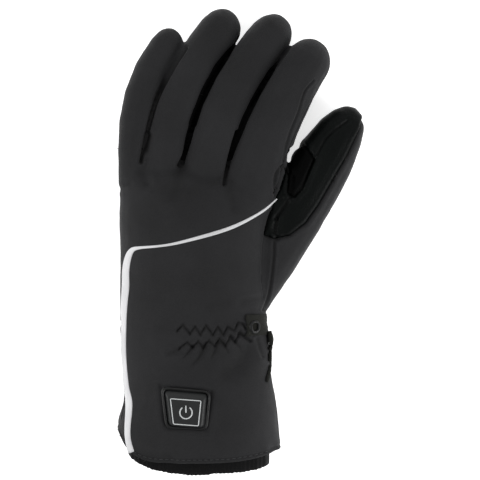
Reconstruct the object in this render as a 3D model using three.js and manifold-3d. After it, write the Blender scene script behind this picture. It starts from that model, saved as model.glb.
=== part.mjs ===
// A left heated winter glove with five fingers, lying on its palm with its back up.
// Millimetres, +Z up, +Y from the cuff to the fingertips, +X to the thumb side.
// The shell is a padded hollow wall, cut along its seams into the panels that are sewn together.
import * as THREE from "three";
import { mergeVertices } from "three/addons/utils/BufferGeometryUtils.js";
import Module from "manifold-3d";

const wasm = await Module();
wasm.setup();

// Hand: the tube from the hem of the cuff to the crotch of the fingers
const HAND_LENGTH = 174;
const PALM_WIDTH = 92;
const PALM_HEIGHT = 46;
const WALL = 3; // softshell, padding and lining together
const SEAM_GAP = 0.3; // clear space between sewn pieces
const PRESSED_FLAT = 1; // how much of the round underside is pressed flat where it rests
const BACK_ROUNDNESS = 2.3; // exponent of the section's upper half
const PALM_ROUNDNESS = 3.2; // exponent of its flatter lower half
const FRONT_SLANT = 13; // how much lower the crotch lies at the index finger
const HEM_RISE_LEFT = 18; // how far the hem climbs to the little finger's side
const HEM_RISE_RIGHT = 7;
const HEM_CORNER_LEFT = 6; // exponents of that climb
const HEM_CORNER_RIGHT = 3;
const HEM_SIDE_LIMIT = 1.1; // share of the half width past which the hem climbs no more
const WRIST_SPAN = 0.25; // share of the hand's length over which the hem's curve dies out
const SLANT_START = 0.8; // share of the hand's length where the front's slant begins
const SLANT_ROUND = 1.5; // exponent of the slant across the hand
const MOUTH_PAST = 20; // how far the hollow runs out past the cuff
const HOLLOW_FRONT_RINGS = 3; // rings of the hollow that keep a wall's thickness from the front

// Fingers: base is the share of the palm's width from the hand's axis, from and to are headings in degrees
// from +Y to +X, and a higher turn leaves more of the bend to the fingertip
const FINGER_HEIGHT = 0.95; // a finger's height as a share of its width
const FINGER_ROUNDNESS = 2.4;
const FINGER_TIP_HEIGHT = 1.12; // most height of a finger as a share of its width at the tip
const FINGER_TIP_ROUND = 0.62; // length of its round tip as a share of that width
const TIP_ROUNDNESS = 2.2; // exponent of the tips' outline
const CLOSED = 0.01; // share of its size that a tip's last ring keeps
const FINGER_BASE = 0.976; // share of the hand's length where the fingers' lengths start
const FINGER_ROOT = 16; // how far a finger's tube reaches back into the hand
const LITTLE_LENGTH = 94;
const RING_LENGTH = 110;
const MIDDLE_LENGTH = 109;
const INDEX_LENGTH = 91;
const FINGERS = [
  { name: "little", base: -0.386, length: LITTLE_LENGTH, from: -3, to: 46, turn: 1.5, width: 20, tip: 20 },
  { name: "ring", base: -0.214, length: RING_LENGTH, from: 4, to: 46, turn: 1.1, width: 25, tip: 24.5 },
  { name: "middle", base: 0.058, length: MIDDLE_LENGTH, from: 11, to: 44, turn: 1, width: 26.6, tip: 25.6 },
  { name: "index", base: 0.385, length: INDEX_LENGTH, from: 17, to: 36, turn: 1, width: 33.5, tip: 26.5 },
];

// Thumb
const THUMB_LENGTH = 136;
const THUMB_WIDTH = 38.5;
const THUMB_HEIGHT = 29;
const THUMB_FROM = 31.5; // heading at its root, in degrees
const THUMB_TO = 30.5; // heading at its tip
const THUMB_BASE = { across: 0.292, along: 0.55 };
const THUMB_TIP_ROUND = 0.42; // length of its round tip as a share of its width
const THUMB_INNER_START = 0.3; // share of its length where its own hollow starts
const THUMB_PASSAGE = 14; // radius of the way from the hand into the thumb
const PASSAGE_NARROWS = 0.85;
const PASSAGE_FLAT = 0.8; // its height as a share of its width
const PASSAGE_START = { across: 0.14, along: 0.6 };
const PASSAGE_END = 0.52; // share of the thumb's length

// Fourchettes: the strips between the fingers
const STRIP_UP = 7; // highest edge above the finger's mid line, on the side that shows
const STRIP_LOW = 1; // edge on the hidden side
const STRIP_DOWN = 6; // lower edge below the mid line
const STRIP_REACH = 8.5; // how far a strip's cut reaches sideways into each finger
const STRIP_START = -0.12; // share of the finger's length where a strip starts, inside the hand
const STRIP_END = 0.84; // and where it runs out
const STRIP_TAPER = 3; // exponent of the way it narrows
const STRIP_NARROWEST = 0.14; // share of its height that is left at its end
const SIDE_STRIP_START = -0.08; // the same for the strip on the index finger's outer side
const SIDE_STRIP_END = 0.66;

// Cuff
const INNER_CUFF_WALL = 1.6;
const INNER_CUFF_SHOWS = 7.5; // length below the hem
const INNER_CUFF_DEPTH = 42; // length inside the cuff
const INNER_CUFF_CLEAR = 0.8; // clear space between it and the shell's inside
const INNER_CUFF_SIDE = 3; // how much narrower it is at its mouth than the shell's inside, on each side
const INNER_RISE_LEFT = 13; // how far its own edge climbs to each side
const INNER_RISE_RIGHT = 4;
const INNER_CORNER = 3.2;
const CUFF_SEAM = 0.47; // share of the hand's length where the palm ends and the cuff starts
const GATHER_DEPTH = 1; // height of the folds that the wrist elastic draws up
const GATHER_FOLDS = 6;
const GATHER_ACROSS = 0.1; // middle of the gathered patch, as a share of the palm's width
const GATHER_WIDTH = 44;

// Controller in the back of the cuff
const CONTROL_TOP_WIDTH = 29;
const CONTROL_BOTTOM_WIDTH = 25.5;
const CONTROL_HEIGHT = 26.5;
const CONTROL_CORNER = 5;
const CONTROL_FRAME = 1.6; // width of the frame round the key
const CONTROL_STANDS = 0.9; // how far the frame stands above the cloth
const CONTROL_SUNK = 2; // how deep it sits in the wall
const KEY_STANDS = 1.0; // how far the key's crown stands above the frame
const KEY_LAYERS = [
  { inset: 0, above: -CONTROL_SUNK - CONTROL_STANDS },
  { inset: 0, above: -0.6 },
  { inset: 0.9, above: 0.1 },
  { inset: 2.4, above: KEY_STANDS },
]; // the key's outline at heights above the frame's top
const CONTROL_ACROSS = -0.057;
const CONTROL_ALONG = 0.182;
const CONTROL_TURN = -3; // degrees

// Straps
const STRAP_WIDTH = 13;
const STRAP_THICKNESS = 1.6;
const STRAP_ALONG = 0.473;
const STRAP_START = 0.36; // share of the palm's width where it comes out of the seam on the back
const STRAP_END = -0.1; // and where it ends on the palm side
const TAB_LENGTH = 30;
const TAB_WIDTH = 10;
const TAB_THICKNESS = 2;
const TAB_END = 5; // how much of its end narrows to a point

const FINISHES = {
  softshell: { color: 0x2b2b2e, roughness: 0.85 },
  leather: { color: 0x191d1d, roughness: 0.6 },
  knit: { color: 0x141416, roughness: 0.9 },
  reflective: { color: 0xc9c9cb, roughness: 0.45 },
  rubber: { color: 0x1b1d1d, roughness: 0.5 },
  lining: { color: 0x1a1a1a, roughness: 0.9 },
  webbing: { color: 0x15160f, roughness: 0.9 },
};

// Cross-sections of the hand: along is the share of its length, left and right are shares of the palm's
// width, top, bottom and seam are heights as shares of the palm's height
const HAND_SECTIONS = [
  { along: 0.0, left: 0.509, right: 0.561, top: 0.95, bottom: 0.03, seam: 0.45 },
  { along: 0.103, left: 0.509, right: 0.548, top: 1.0, bottom: 0.0, seam: 0.45 },
  { along: 0.207, left: 0.463, right: 0.522, top: 0.97, bottom: 0.01, seam: 0.45 },
  { along: 0.328, left: 0.476, right: 0.494, top: 0.9, bottom: 0.05, seam: 0.45 },
  { along: 0.421, left: 0.483, right: 0.472, top: 0.84, bottom: 0.075, seam: 0.44 },
  { along: 0.517, left: 0.489, right: 0.459, top: 0.86, bottom: 0.045, seam: 0.43 },
  { along: 0.638, left: 0.487, right: 0.453, top: 0.94, bottom: 0.0, seam: 0.43 },
  { along: 0.759, left: 0.49, right: 0.459, top: 0.99, bottom: 0.0, seam: 0.44 },
  { along: 0.862, left: 0.49, right: 0.485, top: 0.98, bottom: 0.03, seam: 0.47 },
  { along: 0.931, left: 0.485, right: 0.512, top: 0.91, bottom: 0.1, seam: 0.51 },
  { along: 1.0, left: 0.475, right: 0.535, top: 0.82, bottom: 0.22, seam: 0.54 },
  { along: 1.035, left: 0.44, right: 0.5, top: 0.67, bottom: 0.41, seam: 0.55 },
];
// Mid height of the fingers past the hand, which the side seam follows too
const FINGER_ARCH = [
  { along: 1.035, seam: 0.55 },
  { along: 1.15, seam: 0.56 },
  { along: 1.3, seam: 0.5 },
  { along: 1.45, seam: 0.38 },
  { along: 1.6, seam: 0.26 },
];
// The rings that the hand's skin is lofted through; fold is how much of the gather's depth they take
const HAND_RINGS = [
  { along: 0.0, fold: 0 },
  { along: 0.05, fold: 0 },
  { along: 0.103, fold: 0 },
  { along: 0.155, fold: 0 },
  { along: 0.207, fold: 0 },
  { along: 0.27, fold: 0 },
  { along: 0.34, fold: 0 },
  { along: 0.372, fold: 0.7 },
  { along: 0.4, fold: 1 },
  { along: 0.436, fold: 1 },
  { along: 0.46, fold: 0.3 },
  { along: 0.517, fold: 0 },
  { along: 0.6, fold: 0 },
  { along: 0.68, fold: 0 },
  { along: 0.759, fold: 0 },
  { along: 0.84, fold: 0 },
  { along: 0.92, fold: 0 },
  { along: 0.97, fold: 0 },
  { along: 1.0, fold: 0 },
  { along: 1.035, fold: 0 },
];
const HOLLOW_RINGS = [0, 0.05, 0.103, 0.207, 0.328, 0.421, 0.517, 0.638, 0.759, 0.9, 1.0, 1.035];
// Width and height of the thumb along its length, as shares of its named width and height
const THUMB_SECTIONS = [
  { along: 0.0, width: 0.9, height: 0.85 },
  { along: 0.12, width: 0.94, height: 0.92 },
  { along: 0.3, width: 0.98, height: 1.0 },
  { along: 0.5, width: 1.0, height: 1.0 },
  { along: 0.66, width: 0.97, height: 0.98 },
  { along: 0.8, width: 0.86, height: 0.9 },
  { along: 0.92, width: 0.66, height: 0.78 },
  { along: 1.0, width: 0.5, height: 0.66 },
];
// Seam between the thumb's outer and inner panel: across is a share of the half width, towards the outer edge
const THUMB_SEAM = [
  { along: 1.02, across: 0.5 },
  { along: 0.93, across: 0.7 },
  { along: 0.8, across: 0.62 },
  { along: 0.66, across: 0.56 },
  { along: 0.54, across: 0.56 },
  { along: 0.44, across: 0.5 },
  { along: 0.36, across: 0.28 },
  { along: 0.31, across: -0.1 },
  { along: 0.28, across: -1.3 },
];
// Reflective piping from the hem up the little finger's side and across the back: its middle and its width
const PIPING = [
  { across: -0.365, along: -0.03, width: 4.2 },
  { across: -0.417, along: 0.048, width: 3.9 },
  { across: -0.432, along: 0.103, width: 3.6 },
  { across: -0.424, along: 0.197, width: 4.4 },
  { across: -0.448, along: 0.259, width: 4.0 },
  { across: -0.463, along: 0.362, width: 3.5 },
  { across: -0.463, along: 0.466, width: 3.6 },
  { across: -0.458, along: 0.534, width: 4.2 },
  { across: -0.448, along: 0.6, width: 4.7 },
  { across: -0.447, along: 0.65, width: 4.5 },
  { across: -0.432, along: 0.693, width: 4.2 },
  { across: -0.405, along: 0.722, width: 3.2 },
  { across: -0.359, along: 0.731, width: 1.8 },
  { across: -0.245, along: 0.736, width: 1.4 },
  { across: -0.12, along: 0.746, width: 1.6 },
  { across: 0.087, along: 0.774, width: 2.1 },
  { across: 0.212, along: 0.795, width: 2.1 },
  { across: 0.295, along: 0.813, width: 1.9 },
  { across: 0.378, along: 0.836, width: 1.6 },
  { across: 0.462, along: 0.864, width: 1.3 },
  { across: 0.56, along: 0.908, width: 1.0 },
];

const SIDE_POINTS = 4; // points of a section's back between the gather and each side
const HAND_PALM_POINTS = 12; // points across a section's palm side
const INNER_TOP_POINTS = 10;
const INNER_PALM_POINTS = 8;
const SEAM_POINTS = 26; // points along the side seam's cutting tool
const STRIP_POINTS = 10; // points along a strip's line
const INNER_CUFF_RINGS = 6;
const CORNER_POINTS = 4; // points that round a corner of the controller
const HEADING_STEPS = 24; // steps along a digit's middle line
const MERGE = 1e-4; // points closer than this are one point
const FAR = 400; // past everything, for cutting tools

// A smooth value between the rows of a table, by Hermite curves through them
function smooth(table, column, along) {
  const last = table.length - 1;
  if (along <= table[0].along) return table[0][column];
  if (along >= table[last].along) return table[last][column];
  const i = table.findIndex((row) => row.along > along) - 1;
  const slope = (k) => {
    const a = table[Math.max(0, k - 1)];
    const b = table[Math.min(last, k + 1)];
    return (b[column] - a[column]) / (b.along - a.along);
  };
  const span = table[i + 1].along - table[i].along;
  const t = (along - table[i].along) / span;
  const value = (h00, h10, h01, h11) =>
    h00 * table[i][column] + h10 * span * slope(i) + h01 * table[i + 1][column] + h11 * span * slope(i + 1);
  const rest = 1 - t;
  return value((1 + 2 * t) * rest ** 2, t * rest ** 2, t ** 2 * (3 - 2 * t), -rest * t ** 2);
}

const evenShares = (from, to, count) =>
  Array.from({ length: count }, (_, i) => from + ((to - from) * i) / (count - 1));
const ARCH = [...HAND_SECTIONS.slice(0, -1), ...FINGER_ARCH];
const seamHeight = (y) => PALM_HEIGHT * smooth(ARCH, "seam", y / HAND_LENGTH);

// A closed skin through rings of points that all have as many points
function loft(rings) {
  const around = rings[0].length;
  const triangles = [];
  const middle = (ring) => ring.reduce((sum, p) => sum.add(p), new THREE.Vector3()).divideScalar(around);
  const points = [...rings.flat(), middle(rings[0]), middle(rings.at(-1))];
  const first = rings.length * around;
  for (let j = 0; j < around; j++) {
    const next = (j + 1) % around;
    for (let i = 0; i + 1 < rings.length; i++) {
      const a = i * around;
      const b = a + around;
      triangles.push(a + j, a + next, b + next, a + j, b + next, b + j);
    }
    const top = first - around;
    triangles.push(first, next, j, first + 1, top + j, top + next);
  }
  return new THREE.BufferGeometry().setFromPoints(points).setIndex(triangles);
}

// A manifold-3d solid from a closed geometry, whichever way round its faces are
function solid(geometry) {
  const bare = new THREE.BufferGeometry().setAttribute("position", geometry.getAttribute("position"));
  bare.setIndex(geometry.index);
  const merged = mergeVertices(bare, MERGE);
  const vertProperties = merged.attributes.position.array;
  const make = (triVerts) => new wasm.Manifold(new wasm.Mesh({ numProp: 3, vertProperties, triVerts }));
  const made = make(new Uint32Array(merged.index.array));
  return made.volume() > 0 ? made : make(new Uint32Array(merged.index.array).reverse());
}

const union = (solids) => solids.reduce((a, b) => a.add(b));
const largest = (made) => made.decompose().reduce((a, b) => (a.volume() > b.volume() ? a : b));

// The angles of the points across a section's back, with two to each fold of the gather
function backAngles(folded) {
  const half = PALM_WIDTH / 2;
  const angle = (x) => Math.acos(x / half);
  const first = angle(GATHER_ACROSS * PALM_WIDTH + GATHER_WIDTH / 2);
  const last = angle(GATHER_ACROSS * PALM_WIDTH - GATHER_WIDTH / 2);
  if (!folded) return evenShares(0, Math.PI, INNER_TOP_POINTS + 1).slice(0, -1);
  return [
    ...evenShares(0, first, SIDE_POINTS + 1),
    ...evenShares(first, last, 2 * GATHER_FOLDS + 2).slice(1, -1),
    ...evenShares(last, Math.PI, SIDE_POINTS + 2).slice(0, -1),
  ];
}

// One cross-section of the hand, grown outwards by a margin
function handRing(ring, grown, folded = true) {
  const size = (column) => smooth(HAND_SECTIONS, column, ring.along);
  const left = size("left") * PALM_WIDTH + grown;
  const right = size("right") * PALM_WIDTH + grown;
  const seam = size("seam") * PALM_HEIGHT;
  const up = size("top") * PALM_HEIGHT - seam + grown;
  const down = seam - size("bottom") * PALM_HEIGHT + grown;
  const point = (angle, height, roundness, lift) => {
    const across = Math.sign(Math.cos(angle)) * Math.abs(Math.cos(angle)) ** (2 / roundness);
    const x = across * (across > 0 ? right : left);
    const z = seam + height * Math.abs(Math.sin(angle)) ** (2 / roundness) + lift;
    return new THREE.Vector3(x, handY(ring.along, x), Math.max(z, PRESSED_FLAT - Math.min(0, grown)));
  };
  const inGather = (j) => folded && j > SIDE_POINTS && j <= SIDE_POINTS + 2 * GATHER_FOLDS;
  const lift = (j) => (inGather(j) ? GATHER_DEPTH * ring.fold * (j % 2 ? 0.5 : -0.5) : 0);
  const palmPoints = folded ? HAND_PALM_POINTS : INNER_PALM_POINTS;
  return [
    ...backAngles(folded).map((angle, j) => point(angle, up, BACK_ROUNDNESS, lift(j))),
    ...evenShares(Math.PI, 2 * Math.PI, palmPoints + 1)
      .slice(0, -1)
      .map((angle) => point(angle, -down, PALM_ROUNDNESS, 0)),
  ];
}

// The place along the hand of a point of a section: the hem curves up at its ends, and the front slants
function handY(along, x) {
  const share = (2 * x) / PALM_WIDTH;
  const rise = share < 0 ? HEM_RISE_LEFT : HEM_RISE_RIGHT;
  const corner = share < 0 ? HEM_CORNER_LEFT : HEM_CORNER_RIGHT;
  const climb = Math.min(HEM_SIDE_LIMIT, Math.abs(share)) ** corner;
  const hem = rise * climb * Math.max(0, 1 - along / WRIST_SPAN) ** 2;
  const towardsIndex = Math.max(0, (share + 1) / 2) ** SLANT_ROUND;
  const towardsFront = Math.max(0, (along - SLANT_START) / (1 - SLANT_START));
  return along * HAND_LENGTH + hem - FRONT_SLANT * towardsIndex * towardsFront;
}

// The hand's solid, grown or shrunk by a margin
function hand(grown) {
  return solid(loft(HAND_RINGS.map((ring) => handRing(ring, grown))));
}

// The hollow of the hand, which runs out through the cuff's mouth
function handHollow(wall) {
  const rings = HOLLOW_RINGS.map((along) => handRing({ along, fold: 0 }, -wall, false));
  rings.slice(-HOLLOW_FRONT_RINGS).forEach((ring) => ring.forEach((p) => (p.y -= wall)));
  const mouth = rings[0].map((p) => p.clone().setY(-INNER_CUFF_SHOWS - MOUTH_PAST));
  return solid(loft([mouth, ...rings]));
}

// A digit's middle line: it starts at a point and turns evenly from one heading to another
function digitPoint(digit, share) {
  const p = new THREE.Vector3(digit.x, digit.y, 0);
  const step = (share * digit.length) / HEADING_STEPS;
  for (let i = 0; i < HEADING_STEPS; i++) {
    const heading = digitHeading(digit, (share * (i + 0.5)) / HEADING_STEPS);
    p.x += step * Math.sin(heading);
    p.y += step * Math.cos(heading);
  }
  return p;
}

function digitHeading(digit, share) {
  const turned = Math.min(1, Math.max(0, share)) ** digit.turn;
  return THREE.MathUtils.degToRad(digit.from + (digit.to - digit.from) * turned);
}

// The tube of a digit through rings square to its middle line, with a round tip
function digitTube(digit, grown, around, shares) {
  const rings = shares.map((share) => {
    const tipRound = digit.roundTip / digit.length;
    const past = Math.max(0, (share - (1 - tipRound)) / tipRound);
    const close = Math.sqrt(Math.max(CLOSED ** 2, 1 - Math.min(1, past) ** TIP_ROUNDNESS));
    const centre = digitPoint(digit, share - (past * -grown) / digit.length);
    const heading = digitHeading(digit, share);
    const size = digit.size(share);
    const halfWidth = (size.width / 2 + grown) * close;
    const halfHeight = (size.height / 2 + grown) * close;
    const height = digit.mid(centre.y);
    return Array.from({ length: around }, (_, j) => {
      const angle = (2 * Math.PI * j) / around;
      const bulge = (value) => Math.sign(value) * Math.abs(value) ** (2 / FINGER_ROUNDNESS);
      const across = bulge(Math.cos(angle)) * halfWidth;
      return new THREE.Vector3(
        centre.x + across * Math.cos(heading),
        centre.y - across * Math.sin(heading),
        height + bulge(Math.sin(angle)) * halfHeight,
      );
    });
  });
  return solid(loft(rings));
}

const fingers = FINGERS.map((row) => ({
  ...row,
  x: row.base * PALM_WIDTH,
  y: FINGER_BASE * HAND_LENGTH,
  roundTip: row.tip * FINGER_TIP_ROUND,
  mid: seamHeight,
  size: (share) => {
    const width = row.width + (row.tip - row.width) * Math.min(1, Math.max(0, share));
    return { width, height: Math.min(width, row.tip * FINGER_TIP_HEIGHT) * FINGER_HEIGHT };
  },
}));
const thumb = {
  length: THUMB_LENGTH,
  turn: 1,
  from: THUMB_FROM,
  to: THUMB_TO,
  x: THUMB_BASE.across * PALM_WIDTH,
  y: THUMB_BASE.along * HAND_LENGTH,
  roundTip: THUMB_WIDTH * THUMB_TIP_ROUND,
  mid: () => THUMB_HEIGHT / 2 + PRESSED_FLAT,
  size: (share) => ({
    width: THUMB_WIDTH * smooth(THUMB_SECTIONS, "width", share),
    height: THUMB_HEIGHT * smooth(THUMB_SECTIONS, "height", share),
  }),
};

const TIP_SHARES = [0.93, 0.968, 0.99, 1];
const STRAIGHT_END = 0.87; // share where the tip's closer rings take over
const fingerShares = (finger, count) => [
  ...evenShares(-FINGER_ROOT / finger.length, STRAIGHT_END, count),
  ...TIP_SHARES,
];

const fingersOuter = fingers.map((finger) => digitTube(finger, 0, 12, fingerShares(finger, 7)));
const fingersInner = fingers.map((finger) => digitTube(finger, -WALL, 8, fingerShares(finger, 4)));
const THUMB_TIP_SHARES = [0.94, 0.98, 1];
const THUMB_SHARES = [...evenShares(0, STRAIGHT_END, 7), ...THUMB_TIP_SHARES];
const THUMB_INNER_SHARES = [...evenShares(THUMB_INNER_START, STRAIGHT_END, 4), ...THUMB_TIP_SHARES];
const thumbOuter = digitTube(thumb, 0, 14, THUMB_SHARES);
const thumbGrown = union([thumbOuter, digitTube(thumb, SEAM_GAP, 14, THUMB_SHARES)]);
const thumbInner = digitTube(thumb, -WALL, 10, THUMB_INNER_SHARES);

// The way from the hand's hollow into the thumb's
function thumbPassage() {
  const end = digitPoint(thumb, PASSAGE_END).setZ(thumb.mid());
  const startY = PASSAGE_START.along * HAND_LENGTH;
  const start = new THREE.Vector3(PASSAGE_START.across * PALM_WIDTH, startY, seamHeight(startY));
  const length = start.distanceTo(end);
  const tube = new THREE.CylinderGeometry(THUMB_PASSAGE * PASSAGE_NARROWS, THUMB_PASSAGE, length, 14);
  const turn = new THREE.Quaternion().setFromUnitVectors(
    new THREE.Vector3(0, 1, 0),
    end.clone().sub(start).normalize(),
  );
  tube.scale(1, 1, PASSAGE_FLAT).applyQuaternion(turn);
  const centre = start.add(end).divideScalar(2);
  return solid(tube.translate(centre.x, centre.y, centre.z));
}

// A cutting tool: an outline in plan, as tall as everything
function planTool(outline) {
  const shape = new THREE.Shape(outline.map((p) => new THREE.Vector2(p.x, p.y)));
  const tool = new THREE.ExtrudeGeometry(shape, { depth: 2 * FAR, bevelEnabled: false });
  return solid(tool.translate(0, 0, -FAR));
}

// Turns a shape drawn along Y and Z, and pulled out along X, into its place
const SIDEWAYS = new THREE.Matrix4().makeBasis(
  new THREE.Vector3(0, 1, 0),
  new THREE.Vector3(0, 0, 1),
  new THREE.Vector3(1, 0, 0),
);

// A cutting tool: all that lies above the side seam, lifted by a margin
function aboveSeam(lift) {
  const shares = evenShares(-0.2, 1.75, SEAM_POINTS);
  const line = shares.map((share) => {
    const y = share * HAND_LENGTH;
    return new THREE.Vector2(y, seamHeight(y) + lift);
  });
  const shape = new THREE.Shape([...line, new THREE.Vector2(FAR, FAR), new THREE.Vector2(-FAR, FAR)]);
  const tool = new THREE.ExtrudeGeometry(shape, { depth: 2 * FAR, bevelEnabled: false });
  return solid(tool.translate(0, 0, -FAR).applyMatrix4(SIDEWAYS));
}

// A cutting tool for the strip in the gap between two digits' sides, grown by a margin
function stripTool(line, ups, grown) {
  const rings = line.map((p, i) => {
    const before = line[Math.max(0, i - 1)];
    const after = line[Math.min(line.length - 1, i + 1)];
    const way = new THREE.Vector2(after.x - before.x, after.y - before.y).normalize();
    const share = i / (line.length - 1);
    const taper = Math.sqrt(Math.max(STRIP_NARROWEST ** 2, 1 - share ** STRIP_TAPER));
    const height = (rise) => seamHeight(p.y) + rise * taper + Math.sign(rise) * grown;
    const corner = (across, rise) =>
      new THREE.Vector3(p.x + across * way.y, p.y - across * way.x, height(rise));
    return [
      corner(-STRIP_REACH, -STRIP_DOWN),
      corner(STRIP_REACH, -STRIP_DOWN),
      corner(STRIP_REACH, ups.right),
      corner(-STRIP_REACH, ups.left),
    ];
  });
  return solid(loft(rings));
}

// The line of the gap between two fingers, from inside the hand towards their tips
function gapLine(a, b) {
  const length = Math.min(a.length, b.length);
  return evenShares(STRIP_START, STRIP_END, STRIP_POINTS).map((share) => {
    const edge = (finger, side) => {
      const own = (share * length) / finger.length;
      const p = digitPoint(finger, own);
      const half = (side * finger.size(own).width) / 2;
      const heading = digitHeading(finger, own);
      return new THREE.Vector2(p.x + half * Math.cos(heading), p.y - half * Math.sin(heading));
    };
    return edge(a, 1).add(edge(b, -1)).divideScalar(2);
  });
}

// The line along the outer side of the index finger
function indexSideLine() {
  const finger = fingers.find((row) => row.name === "index");
  return evenShares(SIDE_STRIP_START, SIDE_STRIP_END, STRIP_POINTS).map((share) => {
    const p = digitPoint(finger, share);
    const half = finger.size(share).width / 2;
    const heading = digitHeading(finger, share);
    return new THREE.Vector2(p.x + half * Math.cos(heading), p.y - half * Math.sin(heading));
  });
}

const pipingMiddle = PIPING.map((row) => new THREE.Vector2(row.across * PALM_WIDTH, row.along * HAND_LENGTH));

// The reflective band's outline in plan, grown by a margin
function pipingOutline(grown) {
  const side = (sign) =>
    pipingMiddle.map((p, i) => {
      const before = pipingMiddle[Math.max(0, i - 1)];
      const after = pipingMiddle[Math.min(pipingMiddle.length - 1, i + 1)];
      const way = after.clone().sub(before).normalize();
      const half = sign * (PIPING[i].width / 2 + grown);
      return new THREE.Vector2(p.x - half * way.y, p.y + half * way.x);
    });
  return [...side(1), ...side(-1).reverse()];
}

// Plan of the cuff's back panel: all that lies inside the bend of the piping
function cuffBackOutline() {
  return [
    ...pipingMiddle,
    new THREE.Vector2(FAR, pipingMiddle.at(-1).y),
    new THREE.Vector2(FAR, -FAR),
    new THREE.Vector2(pipingMiddle[0].x, -FAR),
  ];
}

// The shell: everything sewn together, hollow
const hollow = union([handHollow(WALL), ...fingersInner, thumbInner, thumbPassage()]);
const handShell = union([hand(0), ...fingersOuter]).subtract(hollow);
const thumbShell = thumbOuter.subtract(union([hand(SEAM_GAP), ...fingersOuter])).subtract(hollow);

const above = aboveSeam(SEAM_GAP / 2);
const below = aboveSeam(-SEAM_GAP / 2);
const stripUps = { left: STRIP_UP, right: STRIP_LOW };
const gapLines = [0, 1, 2].map((i) => gapLine(fingers[i], fingers[i + 1]));
const strips = gapLines.map((line) => stripTool(line, stripUps, 0));
const sideStripUps = { left: STRIP_UP, right: STRIP_UP };
const indexStrip = stripTool(indexSideLine(), sideStripUps, 0);
const stripCuts = union([
  ...gapLines.map((line) => stripTool(line, stripUps, SEAM_GAP)),
  stripTool(indexSideLine(), sideStripUps, SEAM_GAP),
]);
const backHalf = handShell.intersect(above).subtract(stripCuts);
const palmHalf = handShell.subtract(below).subtract(stripCuts);
const pipingCut = planTool(pipingOutline(SEAM_GAP));
const cuffBackTool = planTool(cuffBackOutline());
const cuffSeam = CUFF_SEAM * HAND_LENGTH;
const belowCuffSeam = (y) =>
  planTool([
    new THREE.Vector2(-FAR, -FAR),
    new THREE.Vector2(FAR, -FAR),
    new THREE.Vector2(FAR, y),
    new THREE.Vector2(-FAR, y),
  ]);

// Seam tool of the thumb: all that lies on the outer side of its seam, moved outwards by a margin
function thumbOuterSide(moved) {
  const line = THUMB_SEAM.map((row) => {
    const p = digitPoint(thumb, row.along);
    const heading = digitHeading(thumb, row.along);
    const across = (row.across * thumb.size(row.along).width) / 2 + moved;
    return new THREE.Vector2(p.x + across * Math.cos(heading), p.y - across * Math.sin(heading) - moved);
  });
  const start = line[0];
  const end = line.at(-1);
  return planTool([
    ...line,
    new THREE.Vector2(end.x, -FAR),
    new THREE.Vector2(FAR, -FAR),
    new THREE.Vector2(FAR, FAR),
    new THREE.Vector2(start.x, FAR),
  ]);
}

// The tube of lining that shows below the hem
function innerCuff() {
  const depth = INNER_CUFF_DEPTH / HAND_LENGTH;
  const ring = (along, inset) => {
    const inside = Math.max(0, along);
    const narrow = 1 - (2 * INNER_CUFF_SIDE * (1 - inside / depth)) / PALM_WIDTH;
    return handRing({ along: inside, fold: 0 }, -inset, false).map((p) => {
      const share = (2 * p.x) / PALM_WIDTH;
      const rise = (share < 0 ? INNER_RISE_LEFT : INNER_RISE_RIGHT) * Math.abs(share) ** INNER_CORNER;
      return p.clone().set(p.x * narrow, along * HAND_LENGTH + rise, p.z);
    });
  };
  const tube = (inset, from, to) =>
    loft(evenShares(from, to, INNER_CUFF_RINGS).map((along) => ring(along, inset)));
  const shows = INNER_CUFF_SHOWS / HAND_LENGTH;
  const past = WALL / HAND_LENGTH;
  const inset = WALL + INNER_CUFF_CLEAR;
  const skin = solid(tube(inset, -shows, depth)).intersect(handHollow(WALL + SEAM_GAP));
  return skin.subtract(solid(tube(inset + INNER_CUFF_WALL, -shows - past, depth + past)));
}

// Rounded trapezoid of the controller, drawn in smaller by an inset
function controlShape(inset) {
  const top = CONTROL_TOP_WIDTH / 2 - inset;
  const bottom = CONTROL_BOTTOM_WIDTH / 2 - inset;
  const half = CONTROL_HEIGHT / 2 - inset;
  const corner = CONTROL_CORNER - inset;
  const corners = [
    [-bottom, -half],
    [bottom, -half],
    [top, half],
    [-top, half],
  ].map(([x, y]) => new THREE.Vector2(x, y));
  const points = [];
  corners.forEach((p, i) => {
    const before = corners[(i + 3) % 4].clone().sub(p).setLength(corner).add(p);
    const after = corners[(i + 1) % 4].clone().sub(p).setLength(corner).add(p);
    points.push(...new THREE.QuadraticBezierCurve(before, p, after).getPoints(CORNER_POINTS));
  });
  return new THREE.Shape(points);
}

// Height of the cuff's back, without its folds
function backHeight(across, along) {
  const size = (column) => smooth(HAND_SECTIONS, column, along);
  const seam = size("seam") * PALM_HEIGHT;
  const up = size("top") * PALM_HEIGHT - seam;
  const half = across > 0 ? size("right") : size("left");
  return seam + up * (1 - Math.abs(across / half) ** BACK_ROUNDNESS) ** (1 / BACK_ROUNDNESS);
}

const controlFloor = backHeight(CONTROL_ACROSS, CONTROL_ALONG) - CONTROL_SUNK;
const place = (geometry) =>
  geometry
    .rotateZ(THREE.MathUtils.degToRad(CONTROL_TURN))
    .translate(CONTROL_ACROSS * PALM_WIDTH, CONTROL_ALONG * HAND_LENGTH, controlFloor);
// A prism of the controller's outline between two heights above its floor
function controlPrism(inset, from, to) {
  const shape = new THREE.ExtrudeGeometry(controlShape(inset), { depth: to - from, bevelEnabled: false });
  return solid(place(shape.translate(0, 0, from)));
}

const frameDepth = CONTROL_SUNK + CONTROL_STANDS;
const controlWindow = controlPrism(-SEAM_GAP, -2 * WALL, 2 * WALL);
const controlFrame = controlPrism(0, 0, frameDepth).subtract(controlPrism(CONTROL_FRAME, -1, frameDepth + 1));

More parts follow.
